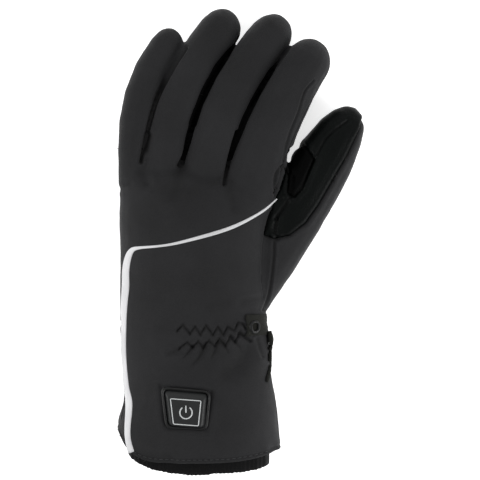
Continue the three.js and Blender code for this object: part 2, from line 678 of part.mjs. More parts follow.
// The key: a pillow that fills the frame
function powerKey() {
  const rings = KEY_LAYERS.map((row) =>
    controlShape(CONTROL_FRAME + SEAM_GAP + row.inset)
      .getPoints()
      .map((p) => new THREE.Vector3(p.x, p.y, frameDepth + row.above)),
  );
  return solid(place(loft(rings)));
}

// A layer that lies on the hand's skin between two distances from it
const layer = (from, to) => hand(to).subtract(hand(from));

function boxTool(low, high) {
  const size = high.clone().sub(low);
  const centre = low.clone().add(high).divideScalar(2);
  return solid(new THREE.BoxGeometry(size.x, size.y, size.z).translate(centre.x, centre.y, centre.z));
}

// Webbing that comes out of the back's seam, goes round the thumb side and ends under the cuff
function wristStrap() {
  const y = STRAP_ALONG * HAND_LENGTH;
  const half = STRAP_WIDTH / 2;
  const seam = seamHeight(y);
  const onBack = boxTool(
    new THREE.Vector3(STRAP_START * PALM_WIDTH, y - half, seam),
    new THREE.Vector3(FAR, y + half, FAR),
  );
  const underPalm = boxTool(
    new THREE.Vector3(STRAP_END * PALM_WIDTH, y - half, -FAR),
    new THREE.Vector3(FAR, y + half, seam + 0.01),
  );
  return layer(SEAM_GAP, SEAM_GAP + STRAP_THICKNESS)
    .intersect(onBack.add(underPalm))
    .subtract(thumbGrown);
}

// The strap's free end with its hook facing, on edge along the side of the cuff
function strapTab() {
  const top = STRAP_ALONG * HAND_LENGTH - STRAP_WIDTH / 2 - SEAM_GAP;
  const seam = seamHeight(top) + TAB_WIDTH / 2;
  const end = top - TAB_LENGTH;
  const shape = new THREE.Shape(
    [
      [top, seam - TAB_WIDTH / 2],
      [top, seam + TAB_WIDTH / 2],
      [end + TAB_END, seam + TAB_WIDTH / 2],
      [end, seam + TAB_WIDTH / 4],
      [end, seam - TAB_WIDTH / 4],
      [end + TAB_END, seam - TAB_WIDTH / 2],
    ].map(([y, z]) => new THREE.Vector2(y, z)),
  );
  const tool = new THREE.ExtrudeGeometry(shape, { depth: FAR, bevelEnabled: false });
  return layer(SEAM_GAP, SEAM_GAP + TAB_THICKNESS).intersect(solid(tool.applyMatrix4(SIDEWAYS)));
}

function node(name, made, finish) {
  const mesh = largest(made).getMesh();
  const positions = new Float32Array(mesh.numVert * 3);
  for (let i = 0; i < mesh.numVert; i++)
    positions.set(mesh.vertProperties.subarray(i * mesh.numProp, i * mesh.numProp + 3), i * 3);
  const geometry = new THREE.BufferGeometry()
    .setAttribute("position", new THREE.BufferAttribute(positions, 3))
    .setIndex(new THREE.BufferAttribute(mesh.triVerts, 1));
  geometry.computeVertexNormals();
  const shown = new THREE.Mesh(geometry, new THREE.MeshStandardMaterial(FINISHES[finish]));
  shown.name = name;
  return shown;
}

const backPanel = backHalf.subtract(cuffBackTool).subtract(pipingCut);
const cuffBack = backHalf.intersect(cuffBackTool).subtract(pipingCut).subtract(controlWindow);
const piping = backHalf.intersect(planTool(pipingOutline(0)));
const palm = palmHalf.subtract(belowCuffSeam(cuffSeam + SEAM_GAP / 2));
const cuffPalm = palmHalf.intersect(belowCuffSeam(cuffSeam - SEAM_GAP / 2));

const glove = new THREE.Group();
glove.add(
  node("back_panel", backPanel, "softshell"),
  node("cuff_back_panel", cuffBack, "softshell"),
  node("reflective_piping", piping, "reflective"),
  node("palm_panel", palm, "leather"),
  node("cuff_palm_panel", cuffPalm, "softshell"),
  node("fourchette_little_ring", handShell.intersect(strips[0]), "knit"),
  node("fourchette_ring_middle", handShell.intersect(strips[1]), "knit"),
  node("fourchette_middle_index", handShell.intersect(strips[2]), "knit"),
  node("index_side_strip", handShell.intersect(indexStrip), "softshell"),
  node("thumb_outer_panel", thumbShell.intersect(thumbOuterSide(SEAM_GAP)), "softshell"),
  node("thumb_inner_panel", thumbShell.subtract(thumbOuterSide(0)), "leather"),
  node("inner_cuff", innerCuff(), "lining"),
  node("controller_frame", controlFrame, "rubber"),
  node("power_key", powerKey(), "rubber"),
  node("wrist_strap", wristStrap(), "webbing"),
  node("strap_tab", strapTab(), "webbing"),
);

// The origin is the middle of the glove's footprint, on the surface that it lies on
const box = new THREE.Box3().setFromObject(glove);
glove.position.set(-(box.min.x + box.max.x) / 2, -(box.min.y + box.max.y) / 2, -box.min.z);

export default glove;
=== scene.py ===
import math

import bpy
import numpy as np
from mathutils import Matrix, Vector
from mathutils.bvhtree import BVHTree
from mathutils.kdtree import KDTree


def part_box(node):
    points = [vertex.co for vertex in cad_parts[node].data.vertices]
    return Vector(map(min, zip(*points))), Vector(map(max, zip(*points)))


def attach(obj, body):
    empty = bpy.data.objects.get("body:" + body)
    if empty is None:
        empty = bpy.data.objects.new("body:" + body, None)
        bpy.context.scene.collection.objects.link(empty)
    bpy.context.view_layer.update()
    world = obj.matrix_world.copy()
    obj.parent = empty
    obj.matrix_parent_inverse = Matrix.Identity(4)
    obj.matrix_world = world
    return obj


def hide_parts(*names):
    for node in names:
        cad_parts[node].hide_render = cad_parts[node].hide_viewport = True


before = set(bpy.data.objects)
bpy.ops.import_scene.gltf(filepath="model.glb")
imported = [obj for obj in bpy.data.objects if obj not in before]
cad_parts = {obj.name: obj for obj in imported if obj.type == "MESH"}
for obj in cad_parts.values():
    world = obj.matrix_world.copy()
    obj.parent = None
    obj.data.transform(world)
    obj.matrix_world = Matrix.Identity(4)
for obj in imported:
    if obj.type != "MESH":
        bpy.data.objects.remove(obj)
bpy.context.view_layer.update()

bpy.ops.object.select_all(action="DESELECT")

# A left winter glove with a heating control, lying on its palm. Lengths in this file are millimetres
# in the part's own frame, and every mesh is written in metres.
MM = 0.001

# The mouth of the cuff, as the part's source has it, apart from a slightly lower right end of the hem
HAND_MIDDLE = -27.42
HAND_WIDTH = 92
HEM_Y = -131.9
HEM_RISE = {"left": (18, 6), "right": (5, 3)}
MOUTH = {"left": 46.8, "right": 51.6, "top": 42.7, "bottom": 0.4, "middle": 19.7}
BACK_ROUNDNESS = 2.3
PALM_ROUNDNESS = 3.2

# The skin
VOXEL = 0.75
SEAM_CLOSING = 0.3
HAND_SMOOTHING = 220
DIGIT_SMOOTHING = 75
WALL = 2.4

# The padding: how long and on how coarse a mesh it swells, how far at most, how far from a seam it is free,
# and the share of the usual swell that the panels' own shape already has
SWELL_STEPS = 20
SWELL_VOXEL = 2.6
MOST_SWELL = 3.0
SEWN_UP_TO, FREE_FROM = 1.5, 7.0
SWELL_MODELLED = 0.8

# Grooves of the seams, and where the skin counts as its upper side
SEAM_HALF = 0.85
SEAM_DEPTH = 0.85
SEAM_BRIM = 0.3
UPPER_SIDE = (12, 17)

# The control's window is filled up to here, and a panel is looked for within this reach
WINDOW_TOP = 43.5
REACH = 8.0
FAR = 99.0

# What is added to the shell before it becomes one skin: the filler of its hollow, with how far a place lies
# below its surroundings if it is a hole, the side of the cuff, and the cloth between the fingers
FILLER_INSET = 1.6
FILLER_X = (-77.0, 78.0)
FILLER_Y = (-128.0, 139.0)
HOLE_DEPTH = 6
CUFF_TOP = 44.4
CUFF_EDGE = [(-91, -68.7), (-96, -70.0), (-101, -71.7), (-106, -73.2), (-111, -74.0), (-117, -73.4),
             (-122, -72.0)]
WEB_HALF = 3.2
WEB_DEPTH = 8
WEBS = [
    [(-40.7, 102.2, 17), (-49.6, 85, 18.5), (-54.4, 68.3, 19), (-58, 52.3, 19)],
    [(-2.5, 117, 12.5), (-12.2, 107, 15.5), (-19.3, 93.2, 17.5), (-25.2, 79, 19), (-30, 63, 19),
     (-34.1, 48.7, 19)],
    [(23.5, 110, 13), (14.5, 98, 16.5), (3.9, 79.6, 19), (-2.1, 64.2, 19), (-6.8, 47.5, 19)],
]

# Each panel: its finish, and how firmly it is padded
PANELS = {
    "back_panel": ("softshell", 0.55),
    "cuff_back_panel": ("softshell", 0.5),
    "cuff_palm_panel": ("softshell", 0.5),
    "index_side_strip": ("softshell", 0.3),
    "thumb_outer_panel": ("softshell", 0.5),
    "palm_panel": ("leather", 0.45),
    "thumb_inner_panel": ("leather", 0.4),
    "fourchette_little_ring": ("knit", 0.2),
    "fourchette_ring_middle": ("knit", 0.2),
    "fourchette_middle_index": ("knit", 0.2),
}
PATCH = "thumb_crotch_patch"
MOUTH_CAP = "mouth_cap"
PATCH_OUTLINE = [(29.4, 54.0), (37.5, 57.6), (44.1, 48.6), (40.5, 39.5), (36.9, 30.6), (32.1, 25.4),
                 (28.0, 28.2)]

# Reflective piping: its middle line and its width
PIPING = [
    (-61.0, -137.1, 4.2), (-65.8, -123.5, 3.9), (-67.2, -114.0, 3.6), (-66.4, -97.6, 4.4),
    (-68.6, -86.8, 4.0),
    (-70.0, -68.9, 3.5), (-70.0, -50.8, 3.6), (-69.6, -39.0, 4.2), (-68.6, -27.5, 4.7), (-68.5, -18.8, 4.5),
    (-67.2, -11.3, 4.2), (-64.7, -6.3, 3.2), (-60.4, -4.7, 1.8), (-50.0, -3.8, 1.4), (-38.5, -2.1, 1.6),
    (-19.4, 2.8, 2.1), (-7.9, 6.4, 2.1), (-0.3, 9.6, 1.9), (7.4, 13.6, 1.6), (15.1, 18.5, 1.3),
    (21.8, 24.6, 0.8),
]

# Folds and sewn lines on the side that shows: points, half width, depth, and whether the line is sharp,
# round, or round and tapering; each line also darkens the colour along it with painted shade
ROW_ONE = [
    (-37.6, -53.9), (-34.2, -50.4), (-29.9, -55.7), (-27.0, -51.2), (-23.8, -56.2), (-20.5, -50.6),
    (-16.3, -56.5),
    (-13.6, -51.4), (-10.1, -56.2), (-7.7, -51.4), (-3.7, -53.8), (-1.5, -49.0), (1.7, -49.8), (2.8, -53.0),
]
ROW_TWO = [
    (-36.1, -64.3), (-31.8, -60.5), (-28.1, -63.7), (-25.1, -60.0), (-22.2, -63.7), (-18.7, -59.5),
    (-15.5, -62.7),
    (-12.5, -58.4), (-8.8, -62.7), (-6.4, -57.3), (-3.4, -60.5), (-0.7, -55.2), (2.5, -57.9), (6.2, -60.0),
]
FOLDS = [
    (ROW_ONE, 0.65, 1.1, "sharp"),
    (ROW_TWO, 0.7, 1.2, "sharp"),
    ([(-28.1, -63.2), (-33.7, -69.9)], 1.1, 1.0, "taper"),
    ([(-21.1, -62.8), (-24.3, -69.1), (-29.1, -74.2)], 1.7, 1.3, "taper"),
    ([(-13.1, -60.0), (-15.0, -64.5), (-16.8, -68.6)], 1.8, 1.2, "taper"),
    ([(-10.4, -61.1), (-7.2, -67.0)], 1.4, 1.0, "taper"),
    ([(-6.1, -57.3), (-2.5, -61.5), (0.3, -64.8)], 1.2, 1.0, "taper"),
    ([(-0.7, -55.2), (3.0, -57.6), (7.2, -60.2)], 1.5, 1.2, "taper"),
    ([(-36.6, -64.8), (-42.5, -67.4)], 1.4, 0.45, "round"),
    ([(5.2, -63.6), (-0.7, -72.9), (-8.6, -79.4)], 5.0, 1.25, "round"),
    ([(-20.0, -39.9), (-14.7, -37.5), (-8.2, -37.5)], 2.4, 0.35, "round"),
    ([(0.5, -37.4), (5.0, -35.9), (11.6, -35.1)], 2.0, 0.35, "round"),
    ([(-47.5, -52.6), (-41.0, -53.9), (-37.7, -54.4)], 2.2, 0.4, "round"),
    ([(10.0, -58.9), (11.3, -63.5), (13.2, -69.5)], 1.0, 0.5, "round"),
    ([(20.0, -1.0), (19.6, -12.0), (17.7, -28.2), (15.9, -35.4), (13.5, -42.0)], 0.8, 0.9, "round"),
    ([(63.9, 71.4), (51.9, 61.8), (44.1, 48.0), (37.5, 34.2), (32.1, 26.4)], 0.7, 0.7, "round"),
    ([(29.1, 40.2), (24.6, 43.5), (20.6, 38.2), (20.2, 28.0)], 0.9, 1.0, "round"),
    ([(31.4, 38.0), (30.0, 27.0), (24.0, 17.5), (21.0, 13.0)], 1.0, 0.9, "round"),
    ([(21.5, 12.5), (20.3, 6.0), (21.8, 0.5)], 1.2, 0.9, "round"),
    ([(-58.0, 40.0), (-55.6, 34.0)], 2.6, 0.9, "round"),
    ([(-35.6, 43.0), (-37.2, 34.0), (-39.0, 27.0)], 3.6, 0.9, "round"),
    ([(-8.0, 33.0), (-5.4, 26.0), (-4.0, 20.0)], 3.2, 0.8, "round"),
    ([(-30.0, 29.0), (-44.0, 31.0)], 4.0, 0.5, "round"),
    ([(-62.0, -127.0), (-50.0, -129.6), (-42.0, -128.0)], 3.4, 0.6, "round"),
    ([(-74.0, 30.0), (-66.0, 33.0)], 1.6, 0.5, "round"),
    ([(43.5, 94.8), (38.1, 88.2), (33.9, 75.6), (28.5, 61.5), (23.9, 40.2), (21.2, 30.0)], 0.6, 0.7,
     "round"),
    # Along the gaps between the fingers: deep grooves that painted shade makes black
    ([(-32.9, 115.0), (-40.7, 102.2), (-49.6, 85.0), (-54.4, 68.3), (-58.0, 52.3), (-59.3, 46.6)], 1.1,
     3.0, "round"),
    ([(-54.8, 62.0), (-56.6, 54.0)], 1.9, 1.6, "round"),
    ([(-29.0, 66.0), (-32.5, 54.0), (-36.0, 44.5)], 1.1, 2.4, "round"),
    ([(-2.1, 64.2), (-6.8, 47.5), (-9.8, 33.8)], 1.1, 2.4, "round"),
    # The hollow inside the pull ring, black from painted shade
    ([(7.6, -49.9), (7.6, -53.7)], 1.8, 0.9, "round"),
]
HEM_LINE = 2.1

# The strap: the directions round the wrist in degrees where it starts and ends, the ring that it is
# sewn to, and its free end, seen from above
STRAP_ANGLES = (63, 214)
PULL_RING = (7.6, -51.8)
TAB_PATH = [(17.4, -54.8), (18.3, -61.2), (17.8, -67.2), (17.5, -76.8), (15.6, -84.6)]

# Control in the back of the cuff: corners from its lower left, counter-clockwise
CONTROL_FRAME = [(-44.2, -111.1), (-19.4, -112.4), (-17.3, -88.9), (-47.1, -86.3)]
CONTROL_CORNER = 4.6
CONTROL_FLOOR = 42.05
KEY_TOP = [(-40.5, -108.9), (-23.5, -110.3), (-21.9, -94.0), (-42.6, -92.6)]
PRINT_OUTLINE = [(-39.5, -108.3), (-24.8, -109.4), (-23.3, -94.7), (-41.3, -93.4)]
SYMBOL = (-32.1, -101.6)
SYMBOL_RADIUS = 3.6
PRINT_WIDTH = 0.62

# Camera and light
PIXEL = 0.6
PICTURE = 480
CAMERA_HEIGHT = 1.25
CAMERA_LOOKS_AT = (-0.0003, 0.0, 0.022)


# Objects and their points

def new_object(name, points, faces):
    """A mesh object from points in millimetres."""
    mesh = bpy.data.meshes.new(name)
    mesh.from_pydata((np.asarray(points, float) * MM).tolist(), [], [list(map(int, f)) for f in faces])
    obj = bpy.data.objects.new(name, mesh)
    bpy.context.scene.collection.objects.link(obj)
    return obj


def only(*objects):
    """Selects these objects and nothing else; the first is active."""
    bpy.ops.object.select_all(action="DESELECT")
    for obj in objects:
        obj.select_set(True)
    bpy.context.view_layer.objects.active = objects[0]


def modify(obj, kind, **settings):
    """Adds a modifier and applies it."""
    only(obj)
    modifier = obj.modifiers.new(kind.lower(), kind)
    for key, value in settings.items():
        setattr(modifier, key, value)
    bpy.ops.object.modifier_apply(modifier=modifier.name)
    return obj


def face_outwards(obj, merge=0.0):
    """Closes doubled points and turns all faces outwards."""
    only(obj)
    bpy.ops.object.mode_set(mode="EDIT")
    bpy.ops.mesh.select_all(action="SELECT")
    if merge:
        bpy.ops.mesh.remove_doubles(threshold=merge * MM)
    bpy.ops.mesh.normals_make_consistent(inside=False)
    bpy.ops.object.mode_set(mode="OBJECT")
    return obj


def get_points(obj):
    points = np.empty(len(obj.data.vertices) * 3, np.float32)
    obj.data.vertices.foreach_get("co", points)
    return points.reshape(-1, 3).astype(float) / MM


def set_points(obj, points):
    obj.data.vertices.foreach_set("co", (points * MM).astype(np.float32).ravel())
    obj.data.update()


def get_normals(obj):
    normals = np.empty(len(obj.data.vertices) * 3, np.float32)
    obj.data.vertex_normals.foreach_get("vector", normals)
    return normals.reshape(-1, 3).astype(float)


def get_edges(obj):
    edges = np.empty(len(obj.data.edges) * 2, np.int32)
    obj.data.edges.foreach_get("vertices", edges)
    return edges.reshape(-1, 2)


def join(objects, name):
    only(*objects)
    bpy.ops.object.join()
    objects[0].name = name
    return objects[0]


def copy_of(nodes, name):
    """One object with copies of these nodes of the frame."""
    copies = []
    for node in nodes:
        copy = bpy.data.objects.new(name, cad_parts[node].data.copy())
        bpy.context.scene.collection.objects.link(copy)
        copies.append(copy)
    return face_outwards(join(copies, name), 0.002)


def smooth_step(value, low, high):
    share = np.clip((value - low) / (high - low), 0, 1)
    return share * share * (3 - 2 * share)


def loops_solid(name, rings, wrap_rings=False):
    """A closed solid through rings of points; without wrap_rings both ends are capped."""
    count, around = len(rings), len(rings[0])
    faces = []
    for i in range(count if wrap_rings else count - 1):
        a, b = i * around, ((i + 1) % count) * around
        for j in range(around):
            k = (j + 1) % around
            faces.append((a + j, a + k, b + k, b + j))
    if not wrap_rings:
        faces.append(range(around - 1, -1, -1))
        faces.append(range((count - 1) * around, count * around))
    return face_outwards(new_object(name, np.concatenate(rings), faces))


def slab(name, top, bottom, wrap=False):
    """A closed slab between two grids of points, top and bottom; wrap joins its ends into a ring."""
    top, bottom = np.asarray(top, float), np.asarray(bottom, float)
    rings = [np.concatenate([top[i], bottom[i][::-1]]) for i in range(len(top))]
    return loops_solid(name, rings, wrap)


def rounded(points, steps=8):
    """A smooth line through points."""
    points = np.asarray(points, float)
    padded = np.vstack([2 * points[0] - points[1], points, 2 * points[-1] - points[-2]])
    line = []
    for i in range(len(points) - 1):
        a, b, c, d = padded[i:i + 4]
        for t in np.arange(steps) / steps:
            line.append(0.5 * (2 * b + (c - a) * t + (2 * a - 5 * b + 4 * c - d) * t ** 2
                               + (3 * b - a - 3 * c + d) * t ** 3))
    return np.array(line + [points[-1]])


def line_distance(plan, line):
    """How far points in plan are from a line of straight pieces, and what share of it they are along."""
    best = np.full(len(plan), FAR)
    along = np.zeros(len(plan))
    for k, (a, b) in enumerate(zip(line[:-1], line[1:])):
        way = b - a
        share = np.clip(((plan - a) @ way) / max(way @ way, 1e-9), 0, 1)
        away = np.linalg.norm(plan - a - share[:, None] * way, axis=1)
        along = np.where(away < best, (k + share) / (len(line) - 1), along)
        best = np.minimum(best, away)
    return best, along


def outline_distance(plan, outline):
    """Distance from a closed outline in plan, less than nothing inside it."""
    outline = np.asarray(outline, float)
    closed = np.vstack([outline, outline[:1]])
    inside = np.zeros(len(plan), bool)
    for (ax, ay), (bx, by) in zip(closed[:-1], closed[1:]):
        if ay == by:
            continue
        crosses = (plan[:, 1] < ay) != (plan[:, 1] < by)
        inside ^= crosses & (plan[:, 0] < ax + (plan[:, 1] - ay) * (bx - ax) / (by - ay))
    return np.where(inside, -1, 1) * line_distance(plan, closed)[0]


def hem_height(x):
    """Where the hem runs along the cuff."""
    share = 2 * (np.asarray(x, float) - HAND_MIDDLE) / HAND_WIDTH
    left, right = HEM_RISE["left"], HEM_RISE["right"]
    climb = np.minimum(1.1, np.abs(share))
    return HEM_Y + np.where(share < 0, left[0] * climb ** left[1], right[0] * climb ** right[1])


# The skin: one closed surface over all the sewn panels

def mouth_extension():
    """Carries the cuff on past its hem, so that the skin is smooth up to the line where it is cut."""
    rings = []
    for past, inset in ((8, 1.3), (3, 0.3), (-3, 0), (-9, 0)):
        ring = []
        for angle in np.linspace(0, 2 * math.pi, 72, endpoint=False):
            c, s = math.cos(angle), math.sin(angle)
            roundness = 2 / (BACK_ROUNDNESS if s > 0 else PALM_ROUNDNESS)
            half = (MOUTH["right"] if c > 0 else MOUTH["left"]) - inset
            tall = (MOUTH["top"] - MOUTH["middle"] if s > 0 else MOUTH["middle"] - MOUTH["bottom"]) - inset
            x = HAND_MIDDLE + math.copysign(abs(c) ** roundness, c) * half
            z = MOUTH["middle"] + math.copysign(abs(s) ** roundness, s) * tall
            ring.append((x, float(hem_height(x)) + past, max(z, inset)))
        rings.append(np.array(ring))
    return loops_solid("mouth_extension", rings)


def filler(shell):
    """A solid in the glove's hollow, so that the remesh keeps nothing but the outside of the shell."""
    tree = BVHTree.FromObject(shell, bpy.context.evaluated_depsgraph_get())
    x, y = np.arange(*FILLER_X), np.arange(*FILLER_Y)
    heights = np.full((2, len(x), len(y)), np.nan)
    for side, (start, way) in enumerate(((0.1, -1), (-0.1, 1))):
        for i in range(len(x)):
            for j in range(len(y)):
                place = tree.ray_cast(Vector((x[i] * MM, y[j] * MM, start)), Vector((0, 0, way)))[0]
                if place is not None:
                    heights[side, i, j] = place.z / MM
    padded = np.pad(heights, ((0, 0), (4, 4), (4, 4)), constant_values=np.nan)
    windows = np.lib.stride_tricks.sliding_window_view(padded, (9, 9), axis=(1, 2))
    inside = np.isfinite(windows).all(axis=(3, 4)).all(axis=0)
    usual = np.where(inside, np.median(windows, axis=(3, 4)), heights)
    top = np.where(inside & (heights[0] < usual[0] - HOLE_DEPTH), usual[0], heights[0]) - FILLER_INSET
    bottom = np.where(inside & (heights[1] > usual[1] + HOLE_DEPTH), usual[1], heights[1]) + FILLER_INSET
    near = np.isfinite(windows[:, :, :, 2:7, 2:7]).all(axis=(3, 4)).all(axis=0)
    keep = near & (top > bottom + 1)
    keep[[0, -1]] = keep[:, [0, -1]] = False
    cells = keep[:-1, :-1] & keep[1:, :-1] & keep[:-1, 1:] & keep[1:, 1:]
    number = np.arange(keep.size).reshape(keep.shape)
    points = np.concatenate([np.dstack([*np.meshgrid(x, y, indexing="ij"), np.nan_to_num(z)]).reshape(-1, 3)
                             for z in (top, bottom)])
    faces = []
    for i, j in zip(*np.nonzero(cells)):
        corners = number[i, j], number[i + 1, j], number[i + 1, j + 1], number[i, j + 1]
        faces.append(corners)
        faces.append([c + keep.size for c in corners[::-1]])
        beside = (cells[i, j - 1], cells[i + 1, j] if i + 1 < len(cells) else False,
                  cells[i, j + 1] if j + 1 < cells.shape[1] else False, cells[i - 1, j])
        for k in range(4):
            if not beside[k]:
                a, b = corners[k], corners[(k + 1) % 4]
                faces.append((b, a, a + keep.size, b + keep.size))
    solid = new_object("filler", points, faces)
    only(solid)
    bpy.ops.object.mode_set(mode="EDIT")
    bpy.ops.mesh.select_all(action="SELECT")
    bpy.ops.mesh.delete_loose()
    bpy.ops.object.mode_set(mode="OBJECT")
    return solid


def cuff_side():
    """The side of the cuff beyond the piping, which the shell leaves open there."""
    rings = []
    for y, edge in CUFF_EDGE:
        half = HAND_MIDDLE - edge - 0.2
        ring = []
        for angle in np.radians(np.linspace(118, 242, 40)):
            up = math.sin(angle) > 0
            roundness = 2 / (BACK_ROUNDNESS if up else PALM_ROUNDNESS)
            tall = (CUFF_TOP - MOUTH["middle"] if up else MOUTH["middle"]) - 0.3
            height = math.copysign(abs(math.sin(angle)) ** roundness, math.sin(angle)) * tall
            ring.append((HAND_MIDDLE - abs(math.cos(angle)) ** roundness * half, y,
                         MOUTH["middle"] + height))
        rings.append(np.array(ring))
    return loops_solid("cuff_side", rings)


def web(line):
    """The cloth between two fingers, along the line of their gap."""
    line = rounded(line, 5)
    way = np.gradient(line[:, :2], axis=0)
    way /= np.linalg.norm(way, axis=1, keepdims=True)
    shares = np.linspace(-WEB_HALF, WEB_HALF, 7)
    top = [[(x - s * wy, y + s * wx, z + 0.35 * math.cos(s * 2)) for s in shares]
           for (x, y, z), (wx, wy) in zip(line, way)]
    return slab("web", top, np.array(top) - (0, 0, WEB_DEPTH))


def whole_skin():
    shell = copy_of([*PANELS, "reflective_piping"], "skin")
    window = copy_of(["controller_frame", "power_key"], "window_filler")
    points = get_points(window)
    points[:, 2] = np.minimum(points[:, 2], WINDOW_TOP)
    set_points(window, points)
    inside = filler(shell)
    for part in (shell, window):
        modify(part, "DISPLACE", strength=SEAM_CLOSING * MM, mid_level=0)
    skin = join([shell, window, inside, cuff_side(), mouth_extension(), *map(web, WEBS)], "skin")
    modify(skin, "REMESH", mode="VOXEL", voxel_size=VOXEL * MM)
    only(skin)
    bpy.ops.object.mode_set(mode="EDIT")
    bpy.ops.mesh.select_all(action="SELECT")
    bpy.ops.mesh.separate(type="LOOSE")
    bpy.ops.object.mode_set(mode="OBJECT")
    parts = sorted(bpy.context.selected_objects, key=lambda part: len(part.data.vertices))
    for part in parts[:-1]:
        bpy.data.objects.remove(part)
    return parts[-1]


def evened(obj, values, steps):
    """Values that the points carry, evened out over the surface."""
    kept = get_points(obj)
    set_points(obj, values)
    modify(obj, "SMOOTH", factor=0.5, iterations=steps)
    result = get_points(obj)
    set_points(obj, kept)
    return result


def smooth_skin(obj):
    """Takes the flat facets out of the skin without shrinking it, most of all on the hand."""
    start = get_points(obj)
    shapes = []
    for steps in (HAND_SMOOTHING, DIGIT_SMOOTHING):
        soft = evened(obj, start, steps)
        shapes.append(soft + evened(obj, start - soft, steps))
    x, y = start[:, 0], start[:, 1]
    fingers = smooth_step(y, 22, 44)
    thumb = smooth_step(x, 14, 26) * smooth_step(y, -52, -40)
    digit = np.maximum(fingers, thumb)[:, None]
    set_points(obj, shapes[0] * (1 - digit) + shapes[1] * digit)
    set_points(obj, get_points(obj) - get_normals(obj) * SEAM_CLOSING)


def panel_scores(points):
    """For each panel, how far each point is from it; the lowest names the point's own panel."""
    names = [*PANELS]
    scores = np.full((len(names) + 2, len(points)), FAR)
    for row, name in enumerate(names):
        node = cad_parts[name].data
        tree = BVHTree.FromPolygons([v.co for v in node.vertices], [p.vertices for p in node.polygons])
        low, high = (np.array(corner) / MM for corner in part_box(name))
        near = np.nonzero(np.all((points > low - REACH) & (points < high + REACH), axis=1))[0]
        for i in near:
            found = tree.find_nearest(Vector(points[i] * MM), REACH * MM)
            if found[0] is not None:
                scores[row, i] = found[3] / MM
    lost = np.all(scores[:len(names)] >= FAR, axis=0)
    scores[names.index("cuff_back_panel"), lost] = 0
    best = scores[:len(names)].min(axis=0)
    owner = scores[:len(names)].argmin(axis=0)
    patch = outline_distance(points[:, :2], PATCH_OUTLINE)
    beneath = [names.index(n) for n in ("thumb_inner_panel", "palm_panel", "index_side_strip")]
    may_patch = np.isin(owner, beneath)
    scores[-2] = np.where(may_patch & (points[:, 2] > 6), best + patch, FAR)
    scores[-1] = best + points[:, 1] - hem_height(points[:, 0])
    return names + [PATCH, MOUTH_CAP], scores


def cut_along_borders(points, edges, scores):
    """Moves the nearer end of every edge that crosses a border onto that border."""
    label = scores.argmin(axis=0)
    i, j = edges[:, 0], edges[:, 1]
    crossing = label[i] != label[j]
    i, j = i[crossing], j[crossing]
    a, b = label[i], label[j]
    lead_i = scores[b, i] - scores[a, i]
    lead_j = scores[a, j] - scores[b, j]
    share = lead_i / np.maximum(lead_i + lead_j, 1e-9)
    length = np.linalg.norm(points[i] - points[j], axis=1)
    order = np.argsort(np.minimum(share, 1 - share) * length, kind="stable")
    moved = points.copy()
    on_border = np.zeros(len(points), bool)
    for k in order:
        if on_border[i[k]] or on_border[j[k]]:
            continue
        end = i[k] if share[k] < 0.5 else j[k]
        moved[end] = points[i[k]] + share[k] * (points[j[k]] - points[i[k]])
        on_border[end] = True
    return moved, on_border, label


def face_labels(faces, scores, label, on_border):
    """Each face belongs to the panel of a corner that isn't on a border."""
    inner = ~on_border[faces]
    first = inner.argmax(axis=1)
    owner = label[faces[np.arange(len(faces)), first]]
    open_faces = ~inner.any(axis=1)
    owner[open_faces] = scores[:, faces[open_faces]].mean(axis=2).argmin(axis=0)
    return owner


def puffed(obj, seam_distance):
    """The padding's swell between its seams, by a cloth simulation of a coarse copy under pressure."""
    points = get_points(obj)
    coarse = bpy.data.objects.new("padding", obj.data.copy())
    bpy.context.scene.collection.objects.link(coarse)
    modify(coarse, "REMESH", mode="VOXEL", voxel_size=SWELL_VOXEL * MM)
    rest = get_points(coarse)
    tree = KDTree(len(points))
    for i, p in enumerate(points):
        tree.insert(p, i)
    tree.balance()
    near = np.array([tree.find(p)[1] for p in rest])
    hold = 1 - smooth_step(seam_distance[near], SEWN_UP_TO, FREE_FROM)
    pins = coarse.vertex_groups.new(name="sewn")
    for i, weight in enumerate(hold):
        pins.add([i], float(weight), "REPLACE")
    cloth = coarse.modifiers.new("cloth", "CLOTH")
    cloth.settings.quality = 5
    cloth.settings.mass = 0.3
    cloth.settings.tension_stiffness = 18
    cloth.settings.compression_stiffness = 8
    cloth.settings.bending_stiffness = 1.2
    cloth.settings.use_pressure = True
    cloth.settings.uniform_pressure_force = 4
    cloth.settings.vertex_group_mass = "sewn"
    cloth.settings.effector_weights.gravity = 0
    cloth.collision_settings.use_collision = False
    cloth.point_cache.frame_start = 1
    cloth.point_cache.frame_end = SWELL_STEPS
    for step in range(1, SWELL_STEPS + 1):
        bpy.context.scene.frame_set(step)
    baked = coarse.evaluated_get(bpy.context.evaluated_depsgraph_get())
    after = np.empty(len(rest) * 3, np.float32)
    baked.data.vertices.foreach_get("co", after)
    move = after.reshape(-1, 3).astype(float) / MM - rest
    far = np.linalg.norm(move, axis=1, keepdims=True)
    move *= np.minimum(1, MOST_SWELL / np.maximum(far, 1e-6))
    tree = KDTree(len(rest))
    for i, p in enumerate(rest):
        tree.insert(p, i)
    tree.balance()
    carried = np.empty_like(points)
    for i, p in enumerate(points):
        found = tree.find_n(p, 4)
        weight = np.array([1 / (f[2] + 0.3) for f in found])
        carried[i] = weight @ move[[f[1] for f in found]] / weight.sum()
    bpy.data.objects.remove(coarse)
    bpy.context.scene.frame_set(1)
    normals = get_normals(obj)
    swell = np.einsum("ij,ij->i", carried, normals)
    free = seam_distance > 5
    return carried - normals * SWELL_MODELLED * np.median(swell[free])


def ripples(points, seed, wavelength, count=14):
    """A gentle unevenness of about one either way, the same in every run."""
    draw = np.random.default_rng(seed)
    total = np.zeros(len(points))
    for _ in range(count):
        way = draw.normal(size=3)
        way *= 2 * math.pi / (wavelength * draw.uniform(0.7, 1.5) * np.linalg.norm(way))
        total += np.sin(points @ way + draw.uniform(0, 2 * math.pi))
    return total / math.sqrt(count)


